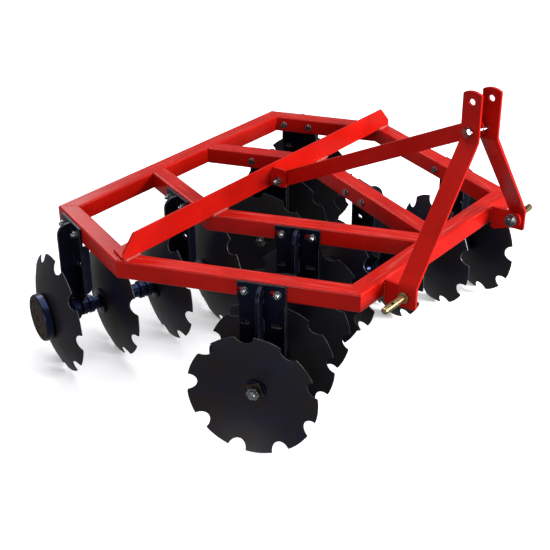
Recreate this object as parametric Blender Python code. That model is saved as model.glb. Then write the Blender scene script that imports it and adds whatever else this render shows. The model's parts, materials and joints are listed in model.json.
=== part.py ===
"""Mounted tandem disc harrow: welded tube frame, mast and four disc gangs.

Metres, +Z up. The machine travels towards -Y and its left side is +X. The ground
is z = 0 and the origin is under the middle of the machine's box.
"""

import math

import bmesh
import bpy
from mathutils import Matrix, Vector

# ---- Overall sizes ----------------------------------------------------------
DISC_RADIUS = 0.203            # 16 inch notched discs
AXLE_BELOW_FRAME = 0.324       # gang axle below the top of the frame tubes
TUBE = 0.060                   # square tube, outside
TUBE_CORNER = 0.007            # outside corner radius of the tube
WIDE_HALF = 0.722              # half width of the frame at the cross angle
FRONT_INSET = 0.279            # how much less it is at the front beam
REAR_INSET = 0.1595            # how much less it is at the rear beam
BEAM_SPACING = 0.4085          # side beam to inner beam along the widest line
FRONT_LENGTH = 0.700           # cross angle line to the front face
REAR_LENGTH = 0.4315           # cross angle line to the rear face
WIDE_Y = 0.1521                # where the widest line of the frame lies
GAP = 0.0003                   # left between pieces that touch

# ---- Cross angle ------------------------------------------------------------
ANGLE_LEG = 0.078
ANGLE_THICK = 0.008
ANGLE_FRONT = 0.0265           # its upright leg stands this far before the line
ANGLE_END_INSET = 0.010        # its ends stop this far inside the widest line's ends
ANGLE_END_SLOPE = 0.053        # run of the slope at each end
ANGLE_END_RISE = 0.022         # height of the square part of each end
ANGLE_FOOT_SLOPE = 0.030       # how much shorter the foot is at its rear edge
ANGLE_FOOT_LEG = 0.073         # the foot's width, from the upright leg's front

# ---- Mast, brace and hitch; heights are above the top of the tubes ----------
MAST_INNER_GAP = 0.052         # between the two mast bars, for a 51 mm ball end
MAST_THICK = 0.010
MAST_AHEAD = 0.1125            # its front edge before the front of the frame
MAST_WIDTH = 0.060
MAST_HEIGHT = 0.505
MAST_HOLE_DROP = 0.032         # top link hole below the top of the bars
MAST_HOLE_RADIUS = 0.0098      # for a 19 mm top pin
MAST_BEND_TOP = 0.353
MAST_BEND_LOW = 0.003
MAST_FOOT = -0.065
MAST_SKEW = 0.028              # the left bar's bends put its upper part this far forwards
BRACE_WIDTH = 0.050
BRACE_THICK = 0.008
BRACE_PIN_BACK = 0.033         # its pin at the mast behind the mast's front edge
BRACE_PIN_HEIGHT = 0.378
LUG_THICK = 0.010
LUG_NEAR_X = -0.004
LUG_REACH = 0.059              # before the cross angle
LUG_CORNER = 0.010
LUG_LIFT = 0.003               # left under it for the weld
LUG_PIN_AHEAD = 0.026
LUG_PIN_HEIGHT = 0.026
LUG_HEIGHT = 0.068
BRACKET_THICK = 0.012
BRACKET_NOSE = 0.030           # radius of the bracket round the pin
BRACKET_TOP_DROP = 0.003
BRACKET_BELOW = 0.018          # below the tube's bottom
BRACKET_FOOT = 0.060           # where its lower edge starts to slope, from the tube
HITCH_PIN_BACK = 0.038         # behind the mast's front edge
HITCH_PIN_HEIGHT = -0.030
HITCH_PIN_RADIUS = 0.011       # 22 mm lower hitch pin
HITCH_PIN_LENGTH = 0.096       # beyond the shoulder
HITCH_PIN_TAIL = 0.026         # inside the bracket
HITCH_PIN_CHAMFER = 0.004
HITCH_COLLAR_RADIUS = 0.017
HITCH_COLLAR_LENGTH = 0.0105
HITCH_SHOULDER_HALF = 0.3415   # 683 mm between the pin shoulders

# ---- Gangs ------------------------------------------------------------------
DISC_PITCH = 0.197
DISCS_PER_GANG = 4
DISC_DISH = 0.042
DISC_THICK = 0.004
DISC_FLAT_RADIUS = 0.050
NOTCHES = 9
NOTCH_DEPTH = 0.029
NOTCH_HALF_ANGLE = math.radians(8.0)
FRONT_DISC_ALONG = 0.258       # from the wide corner to the front discs' rear edge
REAR_DISC_ALONG = 0.1356       # from the wide corner to the rear discs' front edge
FRONT_FIRST_HUB = -0.072       # first hub from the beam's outer face, + inwards
REAR_FIRST_HUB = -0.124
SHAFT_RADIUS = 0.014
SPOOL_RADIUS = 0.024           # also the journal that runs in the bearings
FLANGE_RADIUS = 0.044
FLANGE_LENGTH = 0.008
BELL_RADIUS = 0.081
BELL_LENGTH = 0.030
BELL_CORNER = 0.005
BELL_RECESS = 0.034            # radius of the hollow in its face
BELL_RECESS_DEPTH = 0.012
END_WASHER_RADIUS = 0.033
END_WASHER_LENGTH = 0.008
END_NUT_RADIUS = 0.021
END_NUT_REACH = 0.036          # the nut's outer face from the last disc
SHAFT_END_RADIUS = 0.013
SHAFT_END_REACH = 0.046        # the shaft's end from the last disc
SHAFT_IN_BELL = 0.018

# ---- Hangers ----------------------------------------------------------------
HANGER_WIDTH = 0.150
HANGER_THICK = 0.008
HANGER_DROP = 0.005            # its top below the top of the tube
HANGER_FLANGE = 0.022
RIB_THICK = 0.010
RIB_REACH = 0.048
RIB_ROUND = 0.040              # radius of the rib's round head
HANGER_FOOT = 0.030            # the plate's lower end above the axle
HANGER_STEP = 0.004            # how much narrower the plate is below the tube
HANGER_TAPER = 0.040           # height of the taper at the plate's lower end
BEARING_CLEARANCE = 0.0005
HOUSING_WALL = 0.0155
HOUSING_LENGTH = 0.036
HOUSING_OUT = 0.026            # centre of the bearing outwards of the beam's face

# ---- What follows from them -------------------------------------------------
FRAME_TOP = DISC_RADIUS + AXLE_BELOW_FRAME
FRAME_BOTTOM = FRAME_TOP - TUBE
AXLE_Z = DISC_RADIUS
FRONT_HALF = WIDE_HALF - FRONT_INSET
REAR_HALF = WIDE_HALF - REAR_INSET
FRONT_FACE = WIDE_Y - FRONT_LENGTH
ANGLE_FACE = WIDE_Y - ANGLE_FRONT
INNER_HALF = WIDE_HALF - BEAM_SPACING
MAST_FRONT_Y = FRONT_FACE - MAST_AHEAD
MAST_FOOT_OUTER = HITCH_SHOULDER_HALF - HITCH_COLLAR_LENGTH
HITCH_PIN_Y = MAST_FRONT_Y + HITCH_PIN_BACK
HITCH_PIN_Z = FRAME_TOP + HITCH_PIN_HEIGHT
BRACE_INNER_X = LUG_NEAR_X + LUG_THICK + GAP
FRONT_GANG_ALONG = FRONT_DISC_ALONG + DISC_RADIUS
REAR_GANG_ALONG = REAR_DISC_ALONG + DISC_RADIUS
HOUSING_BORE = SPOOL_RADIUS + BEARING_CLEARANCE
HOUSING_RADIUS = HOUSING_BORE + HOUSING_WALL

# Each disc sits on the square shaft in one of its four positions, from the bell end.
FRONT_PHASES = [math.radians(a) for a in (25.5, 35.5, 5.5, 15.5)]
REAR_PHASES = [math.radians(a) for a in (24.0, 4.0, 34.0, 14.0)]


# ---- Scene ------------------------------------------------------------------
def clear_scene():
    for obj in list(bpy.data.objects):
        bpy.data.objects.remove(obj, do_unlink=True)


def material(name, colour, metallic, roughness):
    made = bpy.data.materials.new(name)
    made.use_nodes = True
    shader = made.node_tree.nodes["Principled BSDF"]
    shader.inputs["Base Color"].default_value = (*colour, 1.0)
    shader.inputs["Metallic"].default_value = metallic
    shader.inputs["Roughness"].default_value = roughness
    return made


FINISHES = {
    "red": ((0.42, 0.02, 0.012), 0.0, 0.35),
    "black": ((0.02, 0.02, 0.025), 0.0, 0.4),
    "cast": ((0.09, 0.07, 0.055), 0.3, 0.6),
    "zinc": ((0.6, 0.58, 0.5), 1.0, 0.35),
}


def add_object(name, bm, finish, matrix=None, smooth=False):
    """An object from a filled bmesh, in its own frame when a matrix is given.
    With smooth, only the faces that meet at under 35 degrees are shaded round."""
    bmesh.ops.recalc_face_normals(bm, faces=bm.faces)
    if smooth:
        for edge in bm.edges:
            edge.smooth = edge.calc_face_angle(math.pi) < math.radians(35.0)
    mesh = bpy.data.meshes.new(name)
    bm.to_mesh(mesh)
    bm.free()
    for face in mesh.polygons:
        face.use_smooth = smooth
    obj = bpy.data.objects.new(name, mesh)
    bpy.context.scene.collection.objects.link(obj)
    if matrix is not None:
        obj.matrix_world = matrix
    mesh.materials.append(material(name + " " + finish, *FINISHES[finish]))
    return obj


# ---- Shapes -----------------------------------------------------------------
def prism(bm, outline, place):
    """A prism whose two ends are place(point, 0) and place(point, 1)."""
    ends = [[bm.verts.new(place(p, e)) for p in outline] for e in (0, 1)]
    count = len(outline)
    for i in range(count):
        j = (i + 1) % count
        bm.faces.new((ends[0][i], ends[0][j], ends[1][j], ends[1][i]))
    bm.faces.new(ends[0])
    bm.faces.new(ends[1])


def revolve(bm, profile, sides, phase=0.0):
    """A solid of revolution about local X from (x, r) points; r = 0 at both ends
    closes it on the axis, and a closed profile makes a ring."""
    rings = []
    for x, r in profile:
        if r < 1e-9:
            rings.append([bm.verts.new((x, 0.0, 0.0))])
            continue
        ring = []
        for i in range(sides):
            a = phase + 2.0 * math.pi * i / sides
            ring.append(bm.verts.new((x, r * math.cos(a), r * math.sin(a))))
        rings.append(ring)
    pairs = list(zip(rings, rings[1:]))
    if profile[0][1] > 1e-9:
        pairs.append((rings[-1], rings[0]))
    for a, b in pairs:
        for i in range(sides):
            j = (i + 1) % sides
            corners = [a[i % len(a)], a[j % len(a)], b[j % len(b)], b[i % len(b)]]
            unique = list(dict.fromkeys(corners))
            bm.faces.new(unique)


def cut(bm, point, normal):
    """Removes what lies on the normal's side of the plane and closes the solid."""
    geometry = bm.verts[:] + bm.edges[:] + bm.faces[:]
    found = bmesh.ops.bisect_plane(
        bm,
        geom=geometry,
        dist=1e-7,
        plane_co=point,
        plane_no=normal,
        clear_outer=True,
    )
    edges = [e for e in found["geom_cut"] if isinstance(e, bmesh.types.BMEdge)]
    if edges:
        bmesh.ops.contextual_create(bm, geom=edges)


def rounded_square(size, radius, steps=3):
    points = []
    inner = size / 2.0 - radius
    for i, (sx, sy) in enumerate(((1, 1), (-1, 1), (-1, -1), (1, -1))):
        for k in range(steps + 1):
            a = math.pi / 2.0 * (i + k / steps)
            points.append((sx * inner + radius * math.cos(a), sy * inner + radius * math.sin(a)))
    return points


def flat(v):
    return Vector((v[0], v[1], 0.0))


def unite(base, others):
    """Boolean union of the other objects into base, applied at once."""
    for other in others:
        modifier = base.modifiers.new("Join", "BOOLEAN")
        modifier.operation = "UNION"
        modifier.solver = "EXACT"
        modifier.object = other
    apply_modifiers(base)
    for other in others:
        bpy.data.objects.remove(other, do_unlink=True)


def subtract(base, cutters):
    for cutter in cutters:
        modifier = base.modifiers.new("Cut", "BOOLEAN")
        modifier.operation = "DIFFERENCE"
        modifier.solver = "EXACT"
        modifier.object = cutter
    apply_modifiers(base)
    for cutter in cutters:
        bpy.data.objects.remove(cutter, do_unlink=True)


def apply_modifiers(obj):
    bpy.context.view_layer.update()
    graph = bpy.context.evaluated_depsgraph_get()
    mesh = bpy.data.meshes.new_from_object(obj.evaluated_get(graph), depsgraph=graph)
    old = obj.data
    obj.modifiers.clear()
    obj.data = mesh
    name = old.name
    bpy.data.meshes.remove(old)
    mesh.name = name


# ---- Frame ------------------------------------------------------------------
def corner_points(side):
    """Outer plan corners of the frame on one side: front, wide and rear."""
    return (
        Vector((side * FRONT_HALF, WIDE_Y - FRONT_LENGTH, 0.0)),
        Vector((side * WIDE_HALF, WIDE_Y, 0.0)),
        Vector((side * REAR_HALF, WIDE_Y + REAR_LENGTH, 0.0)),
    )


def inward(direction, side):
    """The level normal of a side beam that points to the middle of the machine."""
    normal = Vector((direction.y, -direction.x, 0.0))
    return normal if normal.x * side < 0 else -normal


def beam(name, start, direction, inner, cuts):
    """A rounded square tube along direction; start is on its outer top edge line,
    inner points across it, and each cut is (point, outward normal)."""
    bm = bmesh.new()
    outline = rounded_square(TUBE, TUBE_CORNER)
    middle = flat(start) + inner * TUBE / 2.0

    def place(p, end):
        reach = direction * (-1.5 if end == 0 else 1.5)
        lift = Vector((0.0, 0.0, FRAME_TOP - TUBE / 2.0 + p[1]))
        return middle + reach + inner * p[0] + lift

    prism(bm, outline, place)
    for point, normal in cuts:
        cut(bm, point - normal.normalized() * GAP / 2.0, normal)
    return add_object(name, bm, "red")


def mitre_plane(corner, along_a, inner_a, along_b, inner_b):
    """The upright plane through an outer corner and its inner corner, with the
    normal pointing from beam a's side to beam b's side."""
    inside_a = corner + inner_a * TUBE
    inside_b = corner + inner_b * TUBE
    across = along_a.x * along_b.y - along_a.y * along_b.x
    delta = inside_b - inside_a
    t = (delta.x * along_b.y - delta.y * along_b.x) / across
    inside = inside_a + along_a * t
    line = (inside - corner).normalized()
    normal = Vector((line.y, -line.x, 0.0))
    if normal.dot(along_b) < 0:
        normal = -normal
    return corner, normal


def frame_side(side):
    """The outer and inner beams of one side; returns the lines the gangs need."""
    word = "left" if side > 0 else "right"
    front, wide, rear = corner_points(side)
    along_front = (front - wide).normalized()
    along_rear = (rear - wide).normalized()
    in_front = inward(along_front, side)
    in_rear = inward(along_rear, side)
    across = Vector((-side, 0.0, 0.0))
    back = Vector((0.0, 1.0, 0.0))

    wide_cut = mitre_plane(wide, -along_front, in_front, along_rear, in_rear)
    front_cut = mitre_plane(front, across, back, -along_front, in_front)
    rear_cut = mitre_plane(rear, -along_rear, in_rear, across, -back)
    beam(word + "_front_side_beam", wide, along_front, in_front,
         [wide_cut, (front_cut[0], -front_cut[1])])
    beam(word + "_rear_side_beam", wide, along_rear, in_rear,
         [(wide_cut[0], -wide_cut[1]), rear_cut])

    meet = Vector((side * INNER_HALF, WIDE_Y, 0.0))
    meet_cut = mitre_plane(meet, -along_front, in_front, along_rear, in_rear)
    front_face = Vector((0.0, WIDE_Y - FRONT_LENGTH + TUBE, 0.0))
    rear_face = Vector((0.0, WIDE_Y + REAR_LENGTH - TUBE, 0.0))
    beam(word + "_front_inner_beam", meet, along_front, in_front,
         [meet_cut, (front_face + back * GAP / 2.0, -back), (Vector((0.0, 0.0, 0.0)), across)])
    beam(word + "_rear_inner_beam", meet, along_rear, in_rear,
         [(meet_cut[0], -meet_cut[1]), (rear_face, back)])
    return {
        "front": (wide, along_front, in_front),
        "rear": (wide, along_rear, in_rear),
        "front_inner": meet,
        "front_cut": front_cut,
        "rear_cut": rear_cut,
    }


def cross_beams(left, right):
    across = Vector((1.0, 0.0, 0.0))
    back = Vector((0.0, 1.0, 0.0))
    front, _, rear = corner_points(1)
    beam("front_beam", front, across, back, [left["front_cut"], right["front_cut"]])
    beam("rear_beam", rear, across, -back,
         [(cut_at, -normal) for cut_at, normal in (left["rear_cut"], right["rear_cut"])])


def cross_angle():
    """Angle iron on the tubes, its upright leg to the front, with sloped ends."""
    y0 = ANGLE_FACE
    z0 = FRAME_TOP + GAP
    z1 = z0 + ANGLE_LEG
    end_half = WIDE_HALF - ANGLE_END_INSET
    top_half = end_half - ANGLE_END_SLOPE
    bm = bmesh.new()
    outline = [
        (-end_half, z0), (end_half, z0), (end_half, z0 + ANGLE_END_RISE),
        (top_half, z1), (-top_half, z1), (-end_half, z0 + ANGLE_END_RISE),
    ]
    prism(bm, outline, lambda p, e: Vector((p[0], y0 + e * ANGLE_THICK, p[1])))
    obj = add_object("cross_angle", bm, "red")
    bm = bmesh.new()
    rear_half = end_half - ANGLE_FOOT_SLOPE
    start = y0 + ANGLE_THICK / 4.0
    foot = [
        (-end_half, start), (end_half, start),
        (rear_half, y0 + ANGLE_FOOT_LEG), (-rear_half, y0 + ANGLE_FOOT_LEG),
    ]
    prism(bm, foot, lambda p, e: Vector((p[0], p[1], z0 + e * ANGLE_THICK)))
    unite(obj, [add_object("foot", bm, "red")])


# ---- Mast -------------------------------------------------------------------
def round_end(centre, radius, start, stop, steps):
    return [
        (centre[0] + radius * math.cos(start + (stop - start) * k / steps),
         centre[1] + radius * math.sin(start + (stop - start) * k / steps))
        for k in range(steps + 1)
    ]


def cylinder(name, centre, direction, radius, length, sides, finish="red"):
    """A cylinder with its middle at centre, along direction."""
    bm = bmesh.new()
    half = length / 2.0
    revolve(bm, [(-half, 0.0), (-half, radius), (half, radius), (half, 0.0)], sides)
    turn = Vector((1.0, 0.0, 0.0)).rotation_difference(Vector(direction)).to_matrix().to_4x4()
    bmesh.ops.transform(bm, matrix=Matrix.Translation(centre) @ turn, verts=bm.verts)
    return add_object(name, bm, finish)


def mast_bar(side):
    """A flat bar bent outwards below the brace and upright again at the hitch."""
    word = "left" if side > 0 else "right"
    inner = MAST_INNER_GAP / 2.0
    foot = MAST_FOOT_OUTER - MAST_THICK
    top, upper, lower, low = (
        FRAME_TOP + h for h in (MAST_HEIGHT, MAST_BEND_TOP, MAST_BEND_LOW, MAST_FOOT))
    path = [(inner, top), (inner, upper), (foot, lower), (foot, low)]
    slope = math.atan2(foot - inner, upper - lower)
    shift = MAST_THICK * math.tan(slope / 2.0)
    outer = [
        (inner + MAST_THICK, top), (inner + MAST_THICK, upper + shift),
        (foot + MAST_THICK, lower + shift), (foot + MAST_THICK, low),
    ]
    outline = [(side * x, z) for x, z in path + outer[::-1]]
    skew = MAST_SKEW if side > 0 else 0.0

    def place(p, e):
        share = min(max((p[1] - lower - shift) / (upper - lower - shift), 0.0), 1.0)
        return Vector((p[0], MAST_FRONT_Y + e * MAST_WIDTH - share * skew, p[1]))

    bm = bmesh.new()
    prism(bm, outline, place)
    obj = add_object(word + "_mast_bar", bm, "red")
    drill = MAST_THICK * 4.0
    hole = Vector((side * (inner + MAST_THICK / 2.0),
                   MAST_FRONT_Y + MAST_WIDTH / 2.0 - skew, top - MAST_HOLE_DROP))
    pin_hole = Vector((side * (foot + MAST_THICK / 2.0), HITCH_PIN_Y, HITCH_PIN_Z))
    holes = [
        cylinder("hole", hole, (1, 0, 0), MAST_HOLE_RADIUS, drill, 20),
        cylinder("pin hole", pin_hole, (1, 0, 0), HITCH_PIN_RADIUS + GAP, drill, 20),
    ]
    subtract(obj, holes)


def brace_and_lug():
    """The lug stands on the cross angle and the brace runs from it to the mast."""
    bm = bmesh.new()
    rear = ANGLE_FACE - GAP
    front = ANGLE_FACE - LUG_REACH
    low = FRAME_TOP + LUG_LIFT
    high = FRAME_TOP + LUG_HEIGHT
    outline = [
        (rear, low), (front + LUG_CORNER, low), (front, low + LUG_CORNER),
        (front, high - LUG_CORNER), (front + LUG_CORNER, high), (rear, high),
    ]
    prism(bm, outline, lambda p, e: Vector((LUG_NEAR_X + e * LUG_THICK, p[0], p[1])))
    add_object("brace_lug", bm, "red")

    low_end = Vector((0.0, ANGLE_FACE - LUG_PIN_AHEAD, FRAME_TOP + LUG_PIN_HEIGHT))
    high_end = Vector((0.0, MAST_FRONT_Y + BRACE_PIN_BACK, FRAME_TOP + BRACE_PIN_HEIGHT))
    run = high_end - low_end
    along = run.normalized()
    up = Vector((0.0, -along.z, along.y))
    if up.z < 0:
        up = -up
    half = BRACE_WIDTH / 2.0
    length = run.length
    outline = round_end((length, 0.0), half, -math.pi / 2.0, math.pi / 2.0, 10)
    outline += round_end((0.0, 0.0), half, math.pi / 2.0, math.pi * 1.5, 10)
    bm = bmesh.new()

    def place(p, e):
        point = low_end + along * p[0] + up * p[1]
        return Vector((BRACE_INNER_X + e * BRACE_THICK, point.y, point.z))

    prism(bm, outline, place)
    add_object("brace_bar", bm, "red")


def hitch(side):
    """The bracket welded to the front beam and the lower hitch pin."""
    word = "left" if side > 0 else "right"
    outer = MAST_FOOT_OUTER - MAST_THICK - GAP
    inner = outer - BRACKET_THICK
    rear = FRONT_FACE - GAP
    low = FRAME_BOTTOM - BRACKET_BELOW
    outline = [
        (rear, FRAME_TOP - BRACKET_TOP_DROP), (rear, low),
        (rear - BRACKET_BELOW, low - 0.002), (rear - BRACKET_FOOT, FRAME_BOTTOM),
    ]
    pin = (HITCH_PIN_Y, HITCH_PIN_Z)
    outline += round_end(pin, BRACKET_NOSE, -math.pi * 0.60, -math.pi * 1.35, 8)
    bm = bmesh.new()
    prism(bm, outline, lambda p, e: Vector((side * (inner + e * BRACKET_THICK), p[0], p[1])))
    obj = add_object(word + "_hitch_bracket", bm, "red")
    middle = Vector((side * (inner + BRACKET_THICK / 2.0), HITCH_PIN_Y, HITCH_PIN_Z))
    drill = BRACKET_THICK * 4.0
    subtract(obj, [cylinder("hole", middle, (1, 0, 0), HITCH_PIN_RADIUS + GAP, drill, 20)])

    tail = inner - HITCH_PIN_TAIL
    collar = MAST_FOOT_OUTER + GAP
    shoulder = HITCH_SHOULDER_HALF
    tip = shoulder + HITCH_PIN_LENGTH
    profile = [
        (tail, 0.0), (tail, HITCH_PIN_RADIUS - 0.001),
        (tail + HITCH_PIN_CHAMFER, HITCH_PIN_RADIUS), (collar, HITCH_PIN_RADIUS),
        (collar, HITCH_COLLAR_RADIUS), (shoulder, HITCH_COLLAR_RADIUS),
        (shoulder, HITCH_PIN_RADIUS), (tip - HITCH_PIN_CHAMFER, HITCH_PIN_RADIUS),
        (tip, HITCH_PIN_RADIUS - 0.003), (tip, 0.0),
    ]
    bm = bmesh.new()
    revolve(bm, profile, 20)
    if side < 0:
        bmesh.ops.scale(bm, vec=(-1.0, 1.0, 1.0), verts=bm.verts)
    place = Matrix.Translation((0.0, HITCH_PIN_Y, HITCH_PIN_Z))
    bmesh.ops.transform(bm, matrix=place, verts=bm.verts)
    add_object(word + "_hitch_pin", bm, "zinc", smooth=True)


# ---- Gangs ------------------------------------------------------------------
def dish_at(radius):
    """How far the dish has risen from the hub's plane at a radius."""
    if radius <= DISC_FLAT_RADIUS:
        return 0.0
    sphere = (DISC_RADIUS ** 2 + DISC_DISH ** 2) / (2.0 * DISC_DISH)
    rise = sphere - math.sqrt(sphere ** 2 - radius ** 2)
    base = sphere - math.sqrt(sphere ** 2 - DISC_FLAT_RADIUS ** 2)
    full = sphere - math.sqrt(sphere ** 2 - DISC_RADIUS ** 2)
    return (rise - base) * DISC_DISH / (full - base)


def rim_points():
    """One pitch of the notched rim as (angle, radius), from a notch's middle."""
    pitch = 2.0 * math.pi / NOTCHES
    deep = DISC_RADIUS - NOTCH_DEPTH
    edge = NOTCH_HALF_ANGLE
    points = [(-edge, DISC_RADIUS)]
    for share in (0.80, 0.35):
        points.append((-edge * share, DISC_RADIUS - NOTCH_DEPTH * math.sqrt(1.0 - share ** 2)))
    for share in (0.35, 0.80):
        points.append((edge * share, DISC_RADIUS - NOTCH_DEPTH * math.sqrt(1.0 - share ** 2)))
    points.append((edge, DISC_RADIUS))
    land = pitch - 2.0 * edge
    points.append((edge + land / 3.0, DISC_RADIUS))
    points.append((edge + land * 2.0 / 3.0, DISC_RADIUS))
    return [(a, max(r, deep)) for a, r in points]


def disc(name, hub_x, phase, matrix):
    """A dished, notched disc round the shaft, hollow side towards local +X."""
    bm = bmesh.new()
    pitch = 2.0 * math.pi / NOTCHES
    rim = [(k * pitch + a, r) for k in range(NOTCHES) for a, r in rim_points()]
    inner_sides = NOTCHES * 2
    inner_radii = [SHAFT_RADIUS + GAP, DISC_FLAT_RADIUS, 0.130]
    faces = []
    for lift in (0.0, DISC_THICK):
        rings = []
        for radius in inner_radii:
            ring = []
            for i in range(inner_sides):
                a = phase + 2.0 * math.pi * i / inner_sides
                x = hub_x + lift + dish_at(radius)
                ring.append(bm.verts.new((x, radius * math.cos(a), radius * math.sin(a))))
            rings.append(ring)
        outer = []
        for a, radius in rim:
            x = hub_x + lift + dish_at(radius)
            a = a + phase
            outer.append(bm.verts.new((x, radius * math.cos(a), radius * math.sin(a))))
        faces.append((rings, outer))
    for rings, outer in faces:
        for a, b in zip(rings, rings[1:]):
            for i in range(inner_sides):
                j = (i + 1) % inner_sides
                bm.faces.new((a[i], a[j], b[j], b[i]))
        per = len(outer) // NOTCHES
        last = rings[-1]
        for k in range(NOTCHES):
            start = k * per
            notch = [outer[(start + i) % len(outer)] for i in range(per + 1)]
            a, b, c = (last[(2 * k + i) % inner_sides] for i in range(3))
            for i in range(0, 2):
                bm.faces.new((a, notch[i], notch[i + 1]))
            bm.faces.new((a, notch[2], notch[3]))
            for i in range(3, 5):
                bm.faces.new((a, notch[i], notch[i + 1]))
            bm.faces.new((a, notch[5], notch[6], b))
            bm.faces.new((b, notch[6], notch[7]))
            bm.faces.new((b, notch[7], notch[8], c))
    near, far = faces
    for ring_a, ring_b in ((near[0][0], far[0][0]), (near[1], far[1])):
        count = len(ring_a)
        for i in range(count):
            j = (i + 1) % count
            bm.faces.new((ring_a[i], ring_a[j], ring_b[j], ring_b[i]))
    return add_object(name, bm, "black", matrix, smooth=True)


def gang_axle_profile():
    """(x, r) points of shaft, spools, end washer and nut, from the bell end."""
    points = [(-SHAFT_IN_BELL, 0.0), (-SHAFT_IN_BELL, SHAFT_RADIUS)]
    last = DISCS_PER_GANG - 1
    for k in range(DISCS_PER_GANG):
        hub = k * DISC_PITCH
        start = hub + DISC_THICK + GAP
        if k == last:
            washer = start + END_WASHER_LENGTH
            nut = start + END_NUT_REACH
            end = start + SHAFT_END_REACH
            points += [
                (start, SHAFT_RADIUS), (start, END_WASHER_RADIUS),
                (washer, END_WASHER_RADIUS), (washer, END_NUT_RADIUS),
                (nut, END_NUT_RADIUS), (nut, SHAFT_END_RADIUS),
                (end, SHAFT_END_RADIUS), (end, 0.0),
            ]
            continue
        end = hub + DISC_PITCH - GAP
        points += [
            (start, SHAFT_RADIUS), (start, FLANGE_RADIUS), (start + FLANGE_LENGTH, FLANGE_RADIUS),
            (start + FLANGE_LENGTH, SPOOL_RADIUS), (end - FLANGE_LENGTH, SPOOL_RADIUS),
            (end - FLANGE_LENGTH, FLANGE_RADIUS), (end, FLANGE_RADIUS), (end, SHAFT_RADIUS),
        ]
    return points


def gang(label, origin, axis, phases):
    """One gang about its axle: axle with spools, end bell and four discs.
    Local +X runs from the bell end to the nut end along axis."""
    up = Vector((0.0, 0.0, 1.0))
    side = up.cross(axis)
    turn = Matrix((axis, side, up)).transposed().to_4x4()
    matrix = Matrix.Translation(origin) @ turn
    bm = bmesh.new()
    revolve(bm, gang_axle_profile(), 18)
    add_object(label + "_gang_axle", bm, "black", matrix, smooth=True)
    bm = bmesh.new()
    bore = SHAFT_RADIUS + GAP
    face = -BELL_LENGTH
    floor = face + BELL_RECESS_DEPTH
    profile = [
        (-GAP, bore), (-GAP, BELL_RADIUS - 0.004), (-0.006, BELL_RADIUS),
        (face + BELL_CORNER, BELL_RADIUS - 0.002), (face, BELL_RADIUS - 0.008),
        (face, BELL_RECESS), (floor, BELL_RECESS - 0.002), (floor, bore),
    ]
    revolve(bm, profile, 24)
    add_object(label + "_end_bell", bm, "cast", matrix, smooth=True)
    for k in range(DISCS_PER_GANG):
        disc(f"{label}_disc_{k + 1}", k * DISC_PITCH, phases[k], matrix)


# ---- Hangers ----------------------------------------------------------------
def local_solid(name, outline, place):
    bm = bmesh.new()
    prism(bm, outline, place)
    return add_object(name, bm, "black")


def local_cylinder(name, centre_x, radius, half):
    bm = bmesh.new()
    low = centre_x - half
    high = centre_x + half
    revolve(bm, [(low, 0.0), (low, radius), (high, radius), (high, 0.0)], 24)
    bmesh.ops.translate(bm, vec=(0.0, 0.0, AXLE_Z), verts=bm.verts)
    return add_object(name, bm, "black")


def hanger(name, face_point, out):
    """A bolted plate on the beam's outer face, with a rib and a bearing housing.
    Its own frame has +X outwards from the beam's face over the axle."""
    top = FRAME_TOP - HANGER_DROP
    foot = AXLE_Z + HANGER_FOOT
    half = HANGER_WIDTH / 2.0
    step = half - HANGER_STEP
    narrow = half * 0.4
    taper = foot + HANGER_TAPER
    outline = [
        (-half, top), (half, top), (half, FRAME_BOTTOM - 0.004), (step, FRAME_BOTTOM - 0.010),
        (step, taper), (narrow, foot), (-narrow, foot), (-step, taper),
        (-step, FRAME_BOTTOM - 0.010), (-half, FRAME_BOTTOM - 0.004),
    ]
    plate = local_solid(name, outline, lambda p, e: Vector((GAP + e * HANGER_THICK, p[0], p[1])))

    reach = HANGER_THICK + RIB_REACH
    over = HOUSING_OUT + HOUSING_LENGTH / 2.0 - 0.001
    sunk = AXLE_Z + HOUSING_BORE + 0.0065
    head = top - 0.004
    rib = [(HANGER_THICK / 2.0, head), (HANGER_THICK * 1.5, head)]
    rib += round_end((reach - RIB_ROUND, head - RIB_ROUND), RIB_ROUND, math.pi * 0.42, 0.0, 6)
    rib += [
        (reach, AXLE_Z + HOUSING_RADIUS + 0.042), (over, AXLE_Z + HOUSING_RADIUS + 0.016),
        (over, sunk), (0.005, sunk),
    ]
    parts = [local_solid("rib", rib, lambda p, e: Vector((p[0], (e - 0.5) * RIB_THICK, p[1])))]

    low = foot + 0.045
    high = FRAME_BOTTOM - 0.012
    inner = HANGER_THICK * 0.6
    strip = [(-HANGER_FLANGE, high), (inner, high), (inner, low), (-HANGER_FLANGE, low + 0.020)]
    for s in (-1, 1):
        edge = half - 0.005
        parts.append(local_solid(
            "flange", strip, lambda p, e: Vector((p[0], s * (edge - e * 0.007), p[1]))))
    parts.append(local_cylinder("housing", HOUSING_OUT, HOUSING_RADIUS, HOUSING_LENGTH / 2.0))
    unite(plate, parts)
    subtract(plate, [local_cylinder("bore", HOUSING_OUT, HOUSING_BORE, 0.1)])
    up = Vector((0.0, 0.0, 1.0))
    turn = Matrix((out, up.cross(out), up)).transposed().to_4x4()
    plate.matrix_world = Matrix.Translation(flat(face_point)) @ turn


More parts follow.
